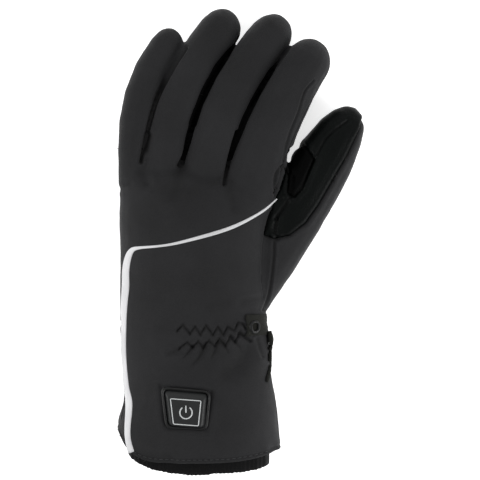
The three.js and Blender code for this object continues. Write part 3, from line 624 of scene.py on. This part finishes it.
def relief(points, seam_distance):
    """How far each point of the skin moves outwards, and how deep it lies in a seam or a fold, which
    becomes painted shade in its colour.
    """
    groove = np.exp(-(seam_distance / SEAM_HALF) ** 2)
    move = -SEAM_DEPTH * groove + SEAM_BRIM * np.exp(-((seam_distance - 2.4) / 1.3) ** 2)
    # Painted shade: the colour darkens in the grooves of the seams
    shade = groove.copy()
    top = smooth_step(points[:, 2], *UPPER_SIDE)
    plan = points[:, :2]
    for line, half, depth, kind in FOLDS:
        line = np.asarray(line, float) if kind == "sharp" else rounded(line)
        reach = 4 * half + 1
        within = (plan > line.min(axis=0) - reach) & (plan < line.max(axis=0) + reach)
        near = np.all(within, axis=1) & (top > 0)
        away, share = line_distance(plan[near], line)
        fade = 1 - 0.65 * share if kind == "taper" else 1
        dip = fade * np.exp(-(away / (half * fade)) ** 2)
        brim = fade * np.exp(-((away - 2.1 * half) / (0.9 * half)) ** 2)
        move[near] += top[near] * (0.3 * min(depth, 1) * brim - depth * dip)
        # Painted shade along the fold, weaker on broad folds
        dark = dip * top[near] * min(1, 1.1 * depth) * (0.35 if half > 2 else 1)
        shade[near] = np.maximum(shade[near], dark)
    hem = points[:, 1] - hem_height(points[:, 0])
    hem_groove = np.exp(-((hem - HEM_LINE) / 0.6) ** 2)
    move += 0.25 * np.exp(-((hem - 0.7) / 0.9) ** 2) - 0.35 * hem_groove
    # Painted shade in the hem's sewn groove
    shade = np.maximum(shade, 0.5 * hem_groove)
    control = outline_distance(plan, CONTROL_FRAME)
    on_cuff = top * (plan[:, 1] < -80)
    recess = -0.9 * np.exp(-((control + 0.4) / 1.1) ** 2)
    move += on_cuff * (recess + 0.2 * np.exp(-((control - 3) / 1.8) ** 2))
    move += 0.22 * ripples(points, 3, 34) + 0.07 * ripples(points, 8, 9)
    return move, np.clip(shade, 0, 1)


def build_panels():
    """Cuts the skin into its sewn panels, and gives each its wall."""
    skin = whole_skin()
    smooth_skin(skin)
    modify(skin, "TRIANGULATE")
    points = get_points(skin)
    edges = get_edges(skin)
    names, scores = panel_scores(points)
    points, on_border, label = cut_along_borders(points, edges, scores)
    set_points(skin, points)
    ordered = np.sort(scores[:-1], axis=0)
    unsewn = [names.index(n) for n in ("back_panel", "cuff_back_panel", "thumb_outer_panel")]
    two = np.argsort(scores[:-1], axis=0)[:2]
    plain = np.isin(two[0], unsewn) & np.isin(two[1], unsewn)
    seam_distance = np.where(plain, FAR, ordered[1] - ordered[0])
    seam_distance[on_border & ~plain & (ordered[1] < 2)] = 0
    points = points + puffed(skin, seam_distance)
    set_points(skin, points)
    move, shade = relief(points, seam_distance)
    points = points + get_normals(skin) * move[:, None]
    points[:, 2] = np.maximum(points[:, 2], 0.0)
    set_points(skin, points)
    tree = BVHTree.FromObject(skin, bpy.context.evaluated_depsgraph_get())

    faces = np.empty(len(skin.data.polygons) * 3, np.int32)
    skin.data.polygons.foreach_get("vertices", faces)
    owner = face_labels(faces.reshape(-1, 3), scores, label, on_border)
    # The painted shade of the seams and folds, kept on the points for the materials
    painted_crease_shade = skin.data.attributes.new("painted_crease_shade", "FLOAT", "POINT")
    painted_crease_shade.data.foreach_set("value", shade.astype(np.float32))
    skin.data.materials.clear()
    for name in names:
        skin.data.materials.append(bpy.data.materials.new(f"cut_{name}"))
    skin.data.polygons.foreach_set("material_index", owner.astype(np.int32))
    only(skin)
    bpy.ops.object.mode_set(mode="EDIT")
    bpy.ops.mesh.select_all(action="SELECT")
    bpy.ops.mesh.separate(type="MATERIAL")
    bpy.ops.object.mode_set(mode="OBJECT")
    panels = {}
    for part in list(bpy.context.selected_objects):
        name = part.data.materials[0].name.removeprefix("cut_")
        part.data.materials.clear()
        if name == MOUTH_CAP:
            bpy.data.objects.remove(part)
            continue
        part.name = name + "_cloth"
        panels[name] = part
    for name, part in panels.items():
        modify(part, "SOLIDIFY", thickness=WALL * MM, offset=-1, use_rim=True, use_even_offset=False)
    return panels, tree


# Finishes

def node_group(name, inputs, outputs):
    """An empty shader node group with its sockets, and its two ends."""
    tree = bpy.data.node_groups.new(name, "ShaderNodeTree")
    for socket, kind, value in inputs:
        made = tree.interface.new_socket(name=socket, in_out="INPUT", socket_type=kind)
        if value is not None:
            made.default_value = value
    for socket, kind in outputs:
        tree.interface.new_socket(name=socket, in_out="OUTPUT", socket_type=kind)
    return tree, tree.nodes.new("NodeGroupInput"), tree.nodes.new("NodeGroupOutput")


def wire(tree, kind, settings=None, **inputs):
    """Adds a node; each input is a number, a colour or another node's socket."""
    node = tree.nodes.new(kind)
    for key, value in (settings or {}).items():
        setattr(node, key, value)
    for key, value in inputs.items():
        numbered = key[0] == "i" and key[1:].isdigit()
        socket = node.inputs[int(key[1:])] if numbered else node.inputs[key.replace("_", " ")]
        if isinstance(value, bpy.types.NodeSocket):
            tree.links.new(value, socket)
        else:
            socket.default_value = value
    return node


FLOAT = "NodeSocketFloat"


def woven_threads():
    """Fine threads over and under each other: their height, and the shade between them."""
    tree, start, end = node_group("woven_threads",
                                  [("Threads per metre", FLOAT, 1500.0), ("Slant", FLOAT, 0.6)],
                                  [("Height", FLOAT), ("Gaps", FLOAT)])
    place = wire(tree, "ShaderNodeTexCoord")
    turn = wire(tree, "ShaderNodeVectorRotate", {"rotation_type": "Z_AXIS"}, Vector=place.outputs["Object"],
                Angle=start.outputs["Slant"])
    warp = wire(tree, "ShaderNodeTexWave",
                {"wave_type": "BANDS", "bands_direction": "X", "wave_profile": "SIN"},
                Vector=turn.outputs[0], Scale=start.outputs[0], Distortion=0.4)
    weft = wire(tree, "ShaderNodeTexWave",
                {"wave_type": "BANDS", "bands_direction": "Y", "wave_profile": "SIN"},
                Vector=turn.outputs[0], Scale=start.outputs[0], Distortion=0.4)
    height = wire(tree, "ShaderNodeMath", {"operation": "MULTIPLY"}, i0=warp.outputs["Fac"],
                  i1=weft.outputs["Fac"])
    gaps = wire(tree, "ShaderNodeMath", {"operation": "SUBTRACT"}, i0=1.0, i1=height.outputs[0])
    tree.links.new(height.outputs[0], end.inputs["Height"])
    tree.links.new(gaps.outputs[0], end.inputs["Gaps"])
    return tree


def pebbled_grain():
    """Rounded cells of leather or moulded rubber: their height and the lines between them."""
    tree, start, end = node_group("pebbled_grain", [("Cells per metre", FLOAT, 900.0)],
                                  [("Height", FLOAT), ("Lines", FLOAT)])
    place = wire(tree, "ShaderNodeTexCoord")
    bend = wire(tree, "ShaderNodeTexNoise", Vector=place.outputs["Object"], Scale=260.0, Detail=2.0)
    shift = wire(tree, "ShaderNodeVectorMath", {"operation": "MULTIPLY_ADD"}, i0=bend.outputs["Color"],
                 i1=(0.0012, 0.0012, 0.0012), i2=place.outputs["Object"])
    cells = wire(tree, "ShaderNodeTexVoronoi", {"feature": "SMOOTH_F1"}, Vector=shift.outputs[0],
                 Scale=start.outputs[0], Smoothness=0.3)
    lines = wire(tree, "ShaderNodeMapRange", Value=cells.outputs["Distance"], i1=0.35, i2=0.8)
    height = wire(tree, "ShaderNodeMath", {"operation": "SUBTRACT"}, i0=1.0, i1=cells.outputs["Distance"])
    tree.links.new(height.outputs[0], end.inputs["Height"])
    tree.links.new(lines.outputs[0], end.inputs["Lines"])
    return tree


def soft_clouding():
    """Broad and fine unevenness of a finish, from nothing to one."""
    tree, start, end = node_group("soft_clouding", [("Clouds per metre", FLOAT, 25.0)],
                                  [("Clouds", FLOAT), ("Specks", FLOAT)])
    place = wire(tree, "ShaderNodeTexCoord")
    broad = wire(tree, "ShaderNodeTexNoise", Vector=place.outputs["Object"], Scale=start.outputs[0],
                 Detail=3.0)
    fine = wire(tree, "ShaderNodeTexNoise", Vector=place.outputs["Object"], Scale=1400.0, Detail=2.0)
    clouds = wire(tree, "ShaderNodeMapRange", Value=broad.outputs["Fac"], i1=0.35, i2=0.68)
    specks = wire(tree, "ShaderNodeMapRange", Value=fine.outputs["Fac"], i1=0.4, i2=0.75)
    tree.links.new(clouds.outputs[0], end.inputs["Clouds"])
    tree.links.new(specks.outputs[0], end.inputs["Specks"])
    return tree


def fold_shade():
    """How much painted shade a point gets in a seam or fold, from the piece's own attribute."""
    tree, start, end = node_group("fold_shade", [("Strength", FLOAT, 0.6)], [("Shade", FLOAT)])
    depth = wire(tree, "ShaderNodeAttribute", {"attribute_name": "painted_crease_shade"})
    share = wire(tree, "ShaderNodeMath", {"operation": "MULTIPLY", "use_clamp": True},
                 i0=depth.outputs["Fac"],
                 i1=start.outputs[0])
    tree.links.new(share.outputs[0], end.inputs[0])
    return tree


THREADS, GRAIN, CLOUDING, FOLD_SHADE = woven_threads(), pebbled_grain(), soft_clouding(), fold_shade()


def finish(name, dark, light, painted_shade_colour, roughness, texture, texture_value, bump, painted_shade_strength=0.75,
           clouds=25.0,
           sheen=0.0, specular=0.5, bump_distance=0.0002):
    """A material that clouds between two tones, has painted shade in its seams, folds and the gaps of its
    texture, and has a woven or grained height.
    """
    material = bpy.data.materials.new(name)
    material.use_nodes = True
    tree = material.node_tree
    shader = tree.nodes["Principled BSDF"]
    cloud = wire(tree, "ShaderNodeGroup", {"node_tree": CLOUDING}, i0=clouds)
    relief_group = wire(tree, "ShaderNodeGroup", {"node_tree": texture}, i0=texture_value)
    shade = wire(tree, "ShaderNodeGroup", {"node_tree": FOLD_SHADE}, i0=painted_shade_strength)
    tone = wire(tree, "ShaderNodeMix", {"data_type": "RGBA"}, i0=cloud.outputs["Clouds"])
    tone.inputs[6].default_value = (*dark, 1)
    tone.inputs[7].default_value = (*light, 1)
    # Painted shade: the gaps between threads and the lines between grain cells mix towards the shade colour
    gaps = wire(tree, "ShaderNodeMath", {"operation": "MULTIPLY"}, i0=relief_group.outputs[1], i1=0.35)
    between = wire(tree, "ShaderNodeMix", {"data_type": "RGBA"}, i0=gaps.outputs[0])
    tree.links.new(tone.outputs[2], between.inputs[6])
    between.inputs[7].default_value = (*painted_shade_colour, 1)
    # Painted shade in the seams and folds, as strong as the piece's attribute says
    deep = wire(tree, "ShaderNodeMix", {"data_type": "RGBA"}, i0=shade.outputs[0])
    tree.links.new(between.outputs[2], deep.inputs[6])
    deep.inputs[7].default_value = (*painted_shade_colour, 1)
    tree.links.new(deep.outputs[2], shader.inputs["Base Color"])
    rough = wire(tree, "ShaderNodeMapRange", Value=cloud.outputs["Specks"], i3=roughness - 0.06,
                 i4=roughness + 0.08)
    tree.links.new(rough.outputs[0], shader.inputs["Roughness"])
    raised = wire(tree, "ShaderNodeMath", {"operation": "MULTIPLY_ADD"}, i0=cloud.outputs["Specks"], i1=0.3,
                  i2=relief_group.outputs[0])
    bumped = wire(tree, "ShaderNodeBump", Height=raised.outputs[0], Strength=bump, Distance=bump_distance)
    tree.links.new(bumped.outputs[0], shader.inputs["Normal"])
    shader.inputs["Sheen Weight"].default_value = sheen
    shader.inputs["Sheen Roughness"].default_value = 0.5
    shader.inputs["Specular IOR Level"].default_value = specular
    return material


# The third colour of each finish is its painted shade, used in seams, folds and the gaps of its texture
FINISHES = {
    "softshell": finish("softshell_cloth", (0.0105, 0.0105, 0.0115), (0.0155, 0.0155, 0.017),
                        (0.0012, 0.0012, 0.0012), 0.8, THREADS, 1500.0, 0.35, sheen=0.04, specular=0.22),
    "leather": finish("grained_leather", (0.0012, 0.0019, 0.0017), (0.0022, 0.0032, 0.0030),
                      (0.0004, 0.0005, 0.0005), 0.5, GRAIN, 900.0, 0.5, specular=0.08),
    "patch": finish("dark_reinforcement", (0.0005, 0.0006, 0.0006), (0.0010, 0.0011, 0.0011),
                    (0.0003, 0.0003, 0.0003), 0.66, GRAIN, 1100.0, 0.5, specular=0.04),
    "knit": finish("stretch_knit", (0.0016, 0.0016, 0.0018), (0.003, 0.003, 0.0034),
                   (0.0004, 0.0004, 0.0004), 0.88, THREADS, 1100.0, 0.6, specular=0.1),
    "reflective": finish("reflective_film", (0.56, 0.56, 0.57), (0.68, 0.68, 0.69), (0.30, 0.30, 0.31),
                         0.42, THREADS, 1700.0, 0.25, specular=0.5, painted_shade_strength=0.0, clouds=60.0),
    "lining": finish("ribbed_lining", (0.0035, 0.0035, 0.0038), (0.0055, 0.0055, 0.006),
                     (0.0012, 0.0012, 0.0012), 0.88, THREADS, 1200.0, 0.6, sheen=0.03, specular=0.12),
    "rubber": finish("moulded_rubber", (0.0028, 0.003, 0.003), (0.0045, 0.005, 0.005),
                     (0.001, 0.001, 0.001), 0.45, GRAIN, 2200.0, 0.12, specular=0.3, clouds=60.0),
    "key": finish("soft_key_rubber", (0.0095, 0.0105, 0.0105), (0.0135, 0.0145, 0.0145),
                  (0.003, 0.003, 0.003), 0.52, GRAIN, 2600.0, 0.12, specular=0.3, clouds=60.0),
    "print": finish("printed_ink", (0.46, 0.48, 0.48), (0.55, 0.57, 0.57), (0.3, 0.3, 0.3), 0.5, GRAIN,
                    2600.0, 0.1, painted_shade_strength=0.0, clouds=120.0),
    "webbing": finish("woven_webbing", (0.006, 0.0065, 0.0045), (0.012, 0.0125, 0.009),
                      (0.002, 0.002, 0.0015), 0.8,
                      THREADS, 700.0, 0.9, specular=0.25, bump_distance=0.0004),
    "thread": finish("sewing_thread", (0.030, 0.030, 0.032), (0.042, 0.042, 0.045), (0.01, 0.01, 0.01),
                     0.7, THREADS, 2600.0, 0.5, specular=0.3),
}


def dress(obj, material, nodes=()):
    """Gives a piece its finish and its body, and hides the nodes that it stands for."""
    obj.data.materials.clear()
    obj.data.materials.append(FINISHES[material])
    only(obj)
    bpy.ops.object.shade_smooth()
    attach(obj, "root")
    if nodes:
        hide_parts(*nodes)
    return obj


# Pieces that lie on the skin

def drop(tree, x, y):
    """The place on the skin under a point in plan, and the way out of the skin there."""
    for shift in (0, 0.6, 1.2, 2.0, 3.0):
        side = shift if x < HAND_MIDDLE else -shift
        place, normal, _, _ = tree.ray_cast(Vector(((x + side) * MM, y * MM, 0.1)), Vector((0, 0, -1)))
        if place is not None:
            return np.array(place) / MM, np.array(normal)
    raise RuntimeError(f"nothing under {x}, {y}")


def piping(tree):
    """The reflective band, sewn down along both edges."""
    table = np.array(PIPING)
    line = rounded(table, 9)
    line = line[line[:, 1] > hem_height(line[:, 0]) + 0.2]
    way = np.gradient(line[:, :2], axis=0)
    way /= np.linalg.norm(way, axis=1, keepdims=True)
    across = np.linspace(-1, 1, 9)
    top, bottom = [], []
    for (x, y, width), (wx, wy) in zip(line, way):
        half = 0.5 * max(width, 0.8)
        row_top, row_bottom = [], []
        for share in across:
            place, normal = drop(tree, x - share * half * wy, y + share * half * wx)
            row_top.append(place + normal * (0.12 + 0.33 * (1 - share ** 4)))
            row_bottom.append(place - normal * 0.7)
        top.append(row_top)
        bottom.append(row_bottom)
    top, bottom = (even_rows(np.array(grid)) for grid in (top, bottom))
    return slab("reflective_band", top, bottom)


def even_rows(grid, passes=3):
    """Evens a grid of points along its length."""
    for _ in range(passes):
        grid[1:-1] = 0.25 * grid[:-2] + 0.5 * grid[1:-1] + 0.25 * grid[2:]
    return grid


def out_from(tree, y, z, angle):
    """The place on the skin in a direction from inside the wrist: 0 is up, 90 to the thumb."""
    start = Vector((-24 * MM, y * MM, z * MM))
    way = Vector((math.sin(math.radians(angle)), 0, math.cos(math.radians(angle))))
    place, normal, _, _ = tree.ray_cast(start, way)
    return np.array(place) / MM, np.array(normal)


def wrist_strap(tree):
    """Webbing that leaves the back's seam, goes round the thumb side and ends under the wrist."""
    top, bottom = [], []
    for angle in np.linspace(*STRAP_ANGLES, 80):
        row_top, row_bottom = [], []
        for share in np.linspace(-1, 1, 13):
            y = -50.6 + 6.2 * share
            place, normal = out_from(tree, y, 19.5, angle)
            rib = 0.12 * math.cos(share * 6 * math.pi)
            edge = 0.25 * (1 - share ** 6)
            row_top.append(place + normal * (1.1 + rib + edge))
            row_bottom.append(place - normal * 0.3)
        top.append(row_top)
        bottom.append(row_bottom)
    top, bottom = even_rows(np.array(top), 6), even_rows(np.array(bottom), 6)
    for grid in (top, bottom):
        grid[..., 2] = np.maximum(grid[..., 2], 0.02)
    return slab("wrist_webbing", top, bottom)


def hook_tab(tree):
    """The strap's free end with its hook facing, on edge along the side of the cuff."""
    line = rounded(TAB_PATH, 11)
    way = np.gradient(line, axis=0)
    way /= np.linalg.norm(way, axis=1, keepdims=True)
    outer, inner = [], []
    for share, (x, y), (wx, wy) in zip(np.linspace(0, 1, len(line)), line, way):
        crown = drop(tree, x, y)[0][2] + 2.4 * (1 - smooth_step(share, 0.9, 1.1))
        half = 1.0 + 0.6 * math.exp(-((share - 0.16) / 0.12) ** 2)
        half += 0.3 * math.exp(-((share - 0.93) / 0.09) ** 2)
        rows = [], []
        for level in np.linspace(-1, 1, 15):
            z = crown - 4.8 + 4.8 * level
            fuzz = 0.22 * math.sin(share * 97 + level * 5) * math.sin(level * 9 + share * 31)
            wide = half * (1 - 0.25 * max(0, level) ** 6) + fuzz
            rows[0].append((x - wy * wide, y + wx * wide, z))
            rows[1].append((x + wy * wide, y - wx * wide, z))
        outer.append(rows[0])
        inner.append(rows[1])
    return slab("hook_tab", outer, inner)


def pull_ring(tree):
    """The dark ring that the webbing is sewn to where it leaves the seam."""
    rings = []
    for angle in np.linspace(0, 2 * math.pi, 40, endpoint=False):
        x = PULL_RING[0] + 2.7 * math.cos(angle)
        y = PULL_RING[1] + 3.9 * math.sin(angle)
        place, normal = drop(tree, x, y)
        outward = np.array([math.cos(angle), math.sin(angle), 0])
        rings.append([place + normal * (1.5 + 0.9 * math.sin(t)) + outward * 0.9 * math.cos(t)
                      for t in np.linspace(0, 2 * math.pi, 12, endpoint=False)])
    return loops_solid("pull_ring", rings, True)


def stitch_row(name, tree, line, length, gap, radius, sink=0.05):
    """A row of stitches along a line in plan: one stitch is modelled and copied."""
    steps = np.linalg.norm(np.diff(line, axis=0), axis=1)
    run = np.concatenate([[0], np.cumsum(steps)])
    starts = np.arange(0.5, run[-1] - length, length + gap)
    bpy.ops.mesh.primitive_uv_sphere_add(segments=8, ring_count=6, radius=1)
    pattern = bpy.context.object
    shape = get_points(pattern) * MM
    faces = [tuple(p.vertices) for p in pattern.data.polygons]
    bpy.data.objects.remove(pattern)
    points, all_faces = [], []
    for start in starts:
        ends = [np.array([np.interp(start + d, run, line[:, k]) for k in (0, 1)]) for d in (0, length)]
        (a, na), (b, nb) = (drop(tree, *end) for end in ends)
        along = (b - a) / 2
        up = (na + nb) / np.linalg.norm(na + nb)
        side = np.cross(along, up)
        side /= np.linalg.norm(side)
        middle = (a + b) / 2 + up * (radius - sink)
        first = len(points) * len(shape)
        across = shape[:, 1:2] * side * radius
        points.append(middle + shape[:, :1] * along + across + shape[:, 2:] * up * radius)
        all_faces += [tuple(first + v for v in face) for face in faces]
    return new_object(name, np.concatenate(points), all_faces)


def hem_line(lift):
    x = np.linspace(-70.5, 19.5, 90)
    return np.column_stack([x, hem_height(x) + lift])


# The control

def trapezoid(corners, corner, inset=0.0, steps=7):
    """A four-sided outline with rounded corners, drawn in by an inset."""
    corners = np.asarray(corners, float)
    centre = corners.mean(axis=0)
    size = np.abs(corners - centre).mean(axis=0)
    corners = centre + (corners - centre) * (1 - inset / size)
    line = []
    for i, p in enumerate(corners):
        ends = []
        for other in (corners[i - 1], corners[(i + 1) % 4]):
            way = other - p
            ends.append(p + way / np.linalg.norm(way) * max(corner - inset, 0.3))
        for t in np.linspace(0, 1, steps):
            line.append((1 - t) ** 2 * ends[0] + 2 * t * (1 - t) * p + t ** 2 * ends[1])
        straight = corners[(i + 1) % 4]
        way = straight - p
        far = straight - way / np.linalg.norm(way) * max(corner - inset, 0.3)
        for t in np.linspace(0, 1, 8)[1:-1]:
            line.append(ends[1] + t * (far - ends[1]))
    return np.array(line)


def at_height(line, z):
    return np.column_stack([line, np.full(len(line), z)])


def control_frame():
    profile = [(-0.1, -0.6), (-0.15, 2.0), (0.0, 2.6), (0.35, 2.95), (0.85, 3.0), (1.3, 2.75), (1.6, 2.2),
               (1.7, 0.4)]
    rings = [at_height(trapezoid(CONTROL_FRAME, CONTROL_CORNER, inset), CONTROL_FLOOR + z)
             for inset, z in profile]
    return loops_solid("control_rim", rings, True)


def power_key():
    """A soft key: deep and dark along its upper edge, with a flat face for the print."""
    outer = trapezoid(CONTROL_FRAME, CONTROL_CORNER, 1.85)
    inner = trapezoid(KEY_TOP, 1.2)
    levels = [(0, 0.3), (0, 1.1), (0.04, 1.75), (0.16, 2.3), (0.34, 2.85), (0.56, 3.35), (0.78, 3.75),
              (0.92, 3.9),
              (1.0, 3.93)]
    rings = [at_height(outer + (inner - outer) * t, CONTROL_FLOOR + z) for t, z in levels]
    middle = inner.mean(axis=0)
    for share in (0.8, 0.55, 0.3, 0.1):
        rings.append(at_height(middle + (inner - middle) * share, CONTROL_FLOOR + 3.93 - 0.1 * (1 - share)))
    return loops_solid("power_key_pad", rings)


def stroke(name, line, width, z, wrap=False):
    """A flat raised line of print."""
    line = np.asarray(line, float)
    if wrap:
        way = np.roll(line, -1, axis=0) - np.roll(line, 1, axis=0)
    else:
        way = np.gradient(line, axis=0)
    way /= np.linalg.norm(way, axis=1, keepdims=True)
    side = np.column_stack([-way[:, 1], way[:, 0]]) * width / 2
    shares = np.array([-1, -0.7, 0, 0.7, 1])
    top = [[(*(p + s * share), z + 0.14 * (1 - share ** 4)) for share in shares]
           for p, s in zip(line, side)]
    bottom = [[(*(p + s * share), z - 0.25) for share in shares] for p, s in zip(line, side)]
    return slab(name, top, bottom, wrap)


def control_print():
    z = CONTROL_FLOOR + 3.88
    outline = stroke("print_outline", trapezoid(PRINT_OUTLINE, 0.7, steps=4), PRINT_WIDTH, z, True)
    turn = np.radians(np.linspace(90 + 36, 90 + 324, 48))
    arc = np.array(SYMBOL) + SYMBOL_RADIUS * np.column_stack([np.cos(turn), np.sin(turn)])
    ring = stroke("symbol_ring", arc, 0.8, z - 0.06)
    upright = np.linspace((SYMBOL[0], SYMBOL[1] - 0.1), (SYMBOL[0] - 0.1, SYMBOL[1] + 4.1), 8)
    bar = stroke("symbol_bar", upright, 0.8, z - 0.06)
    return join([outline, ring, bar], "control_print")


def soft_copy(nodes, name, voxel, steps):
    """A smooth copy of nodes whose facets are flat."""
    obj = copy_of(nodes, name)
    modify(obj, "REMESH", mode="VOXEL", voxel_size=voxel * MM)
    start = get_points(obj)
    soft = evened(obj, start, steps)
    set_points(obj, soft + evened(obj, start - soft, steps))
    return obj


def inner_cuff():
    """The lining's tube below the hem, with fine ribs along it."""
    obj = soft_copy(["inner_cuff"], "inner_cuff_lining", 0.6, 50)
    points = get_points(obj)
    normals = get_normals(obj)
    ribs = 0.12 * np.cos(points[:, 0] * 2 * math.pi / 2.4) + 0.25 * ripples(points, 5, 26)
    set_points(obj, points + normals * ribs[:, None])
    return obj


# The glove

panels, skin_tree = build_panels()
for panel, piece in panels.items():
    if panel == PATCH:
        dress(piece, "patch")
    else:
        slot, fill = PANELS[panel]
        dress(piece, slot, [panel])

dress(piping(skin_tree), "reflective", ["reflective_piping"])
dress(inner_cuff(), "lining", ["inner_cuff"])
dress(wrist_strap(skin_tree), "webbing", ["wrist_strap"])
dress(hook_tab(skin_tree), "webbing", ["strap_tab"])
dress(pull_ring(skin_tree), "rubber")
dress(control_frame(), "rubber", ["controller_frame"])
dress(power_key(), "key", ["power_key"])
dress(control_print(), "print")
dress(stitch_row("hem_stitches", skin_tree, hem_line(HEM_LINE), 2.4, 0.9, 0.22), "thread")


# Floor, light and camera

def floor_material():
    material = bpy.data.materials.new("pale_floor")
    material.use_nodes = True
    shader = material.node_tree.nodes["Principled BSDF"]
    tree = material.node_tree
    place = wire(tree, "ShaderNodeTexCoord")
    noise = wire(tree, "ShaderNodeTexNoise", Vector=place.outputs["Object"], Scale=6.0, Detail=2.0)
    tone = wire(tree, "ShaderNodeMapRange", Value=noise.outputs["Fac"], i3=0.93, i4=0.96)
    tree.links.new(tone.outputs[0], shader.inputs["Base Color"])
    shader.inputs["Roughness"].default_value = 0.95
    shader.inputs["Specular IOR Level"].default_value = 0.1
    shader.inputs["Emission Color"].default_value = (1, 1, 1, 1)
    shader.inputs["Emission Strength"].default_value = 0.62
    return material


def area_light(name, place, target, size, power):
    data = bpy.data.lights.new(name, "AREA")
    data.energy = power
    data.size = size
    light = bpy.data.objects.new(name, data)
    light.location = place
    light.rotation_euler = (Vector(target) - Vector(place)).to_track_quat("-Z", "Y").to_euler()
    bpy.context.scene.collection.objects.link(light)


bpy.ops.mesh.primitive_plane_add(size=4, location=(0, 0, 0))
floor = bpy.context.object
floor.name = "floor"
floor.data.materials.append(floor_material())

world = bpy.context.scene.world or bpy.data.worlds.new("studio")
bpy.context.scene.world = world
world.use_nodes = True
world.node_tree.nodes["Background"].inputs["Color"].default_value = (1, 1, 1, 1)
world.node_tree.nodes["Background"].inputs["Strength"].default_value = 0.52

area_light("key_light", (0.85, -0.4, 0.55), (0, 0, 0), 0.6, 9)
area_light("fill_light", (-0.95, 0.0, 0.5), (0, 0, 0), 0.6, 7)
area_light("top_light", (0.1, 0.7, 0.7), (0, 0.05, 0), 0.6, 1.5)

camera_data = bpy.data.cameras.new("camera")
camera_data.sensor_width = 36
camera_data.lens = 36 * CAMERA_HEIGHT / (PICTURE * PIXEL * MM)
camera = bpy.data.objects.new("camera", camera_data)
camera.location = (CAMERA_LOOKS_AT[0], CAMERA_LOOKS_AT[1], CAMERA_LOOKS_AT[2] + CAMERA_HEIGHT)
bpy.context.scene.collection.objects.link(camera)
bpy.context.scene.camera = camera
bpy.context.scene.view_settings.view_transform = "Standard"
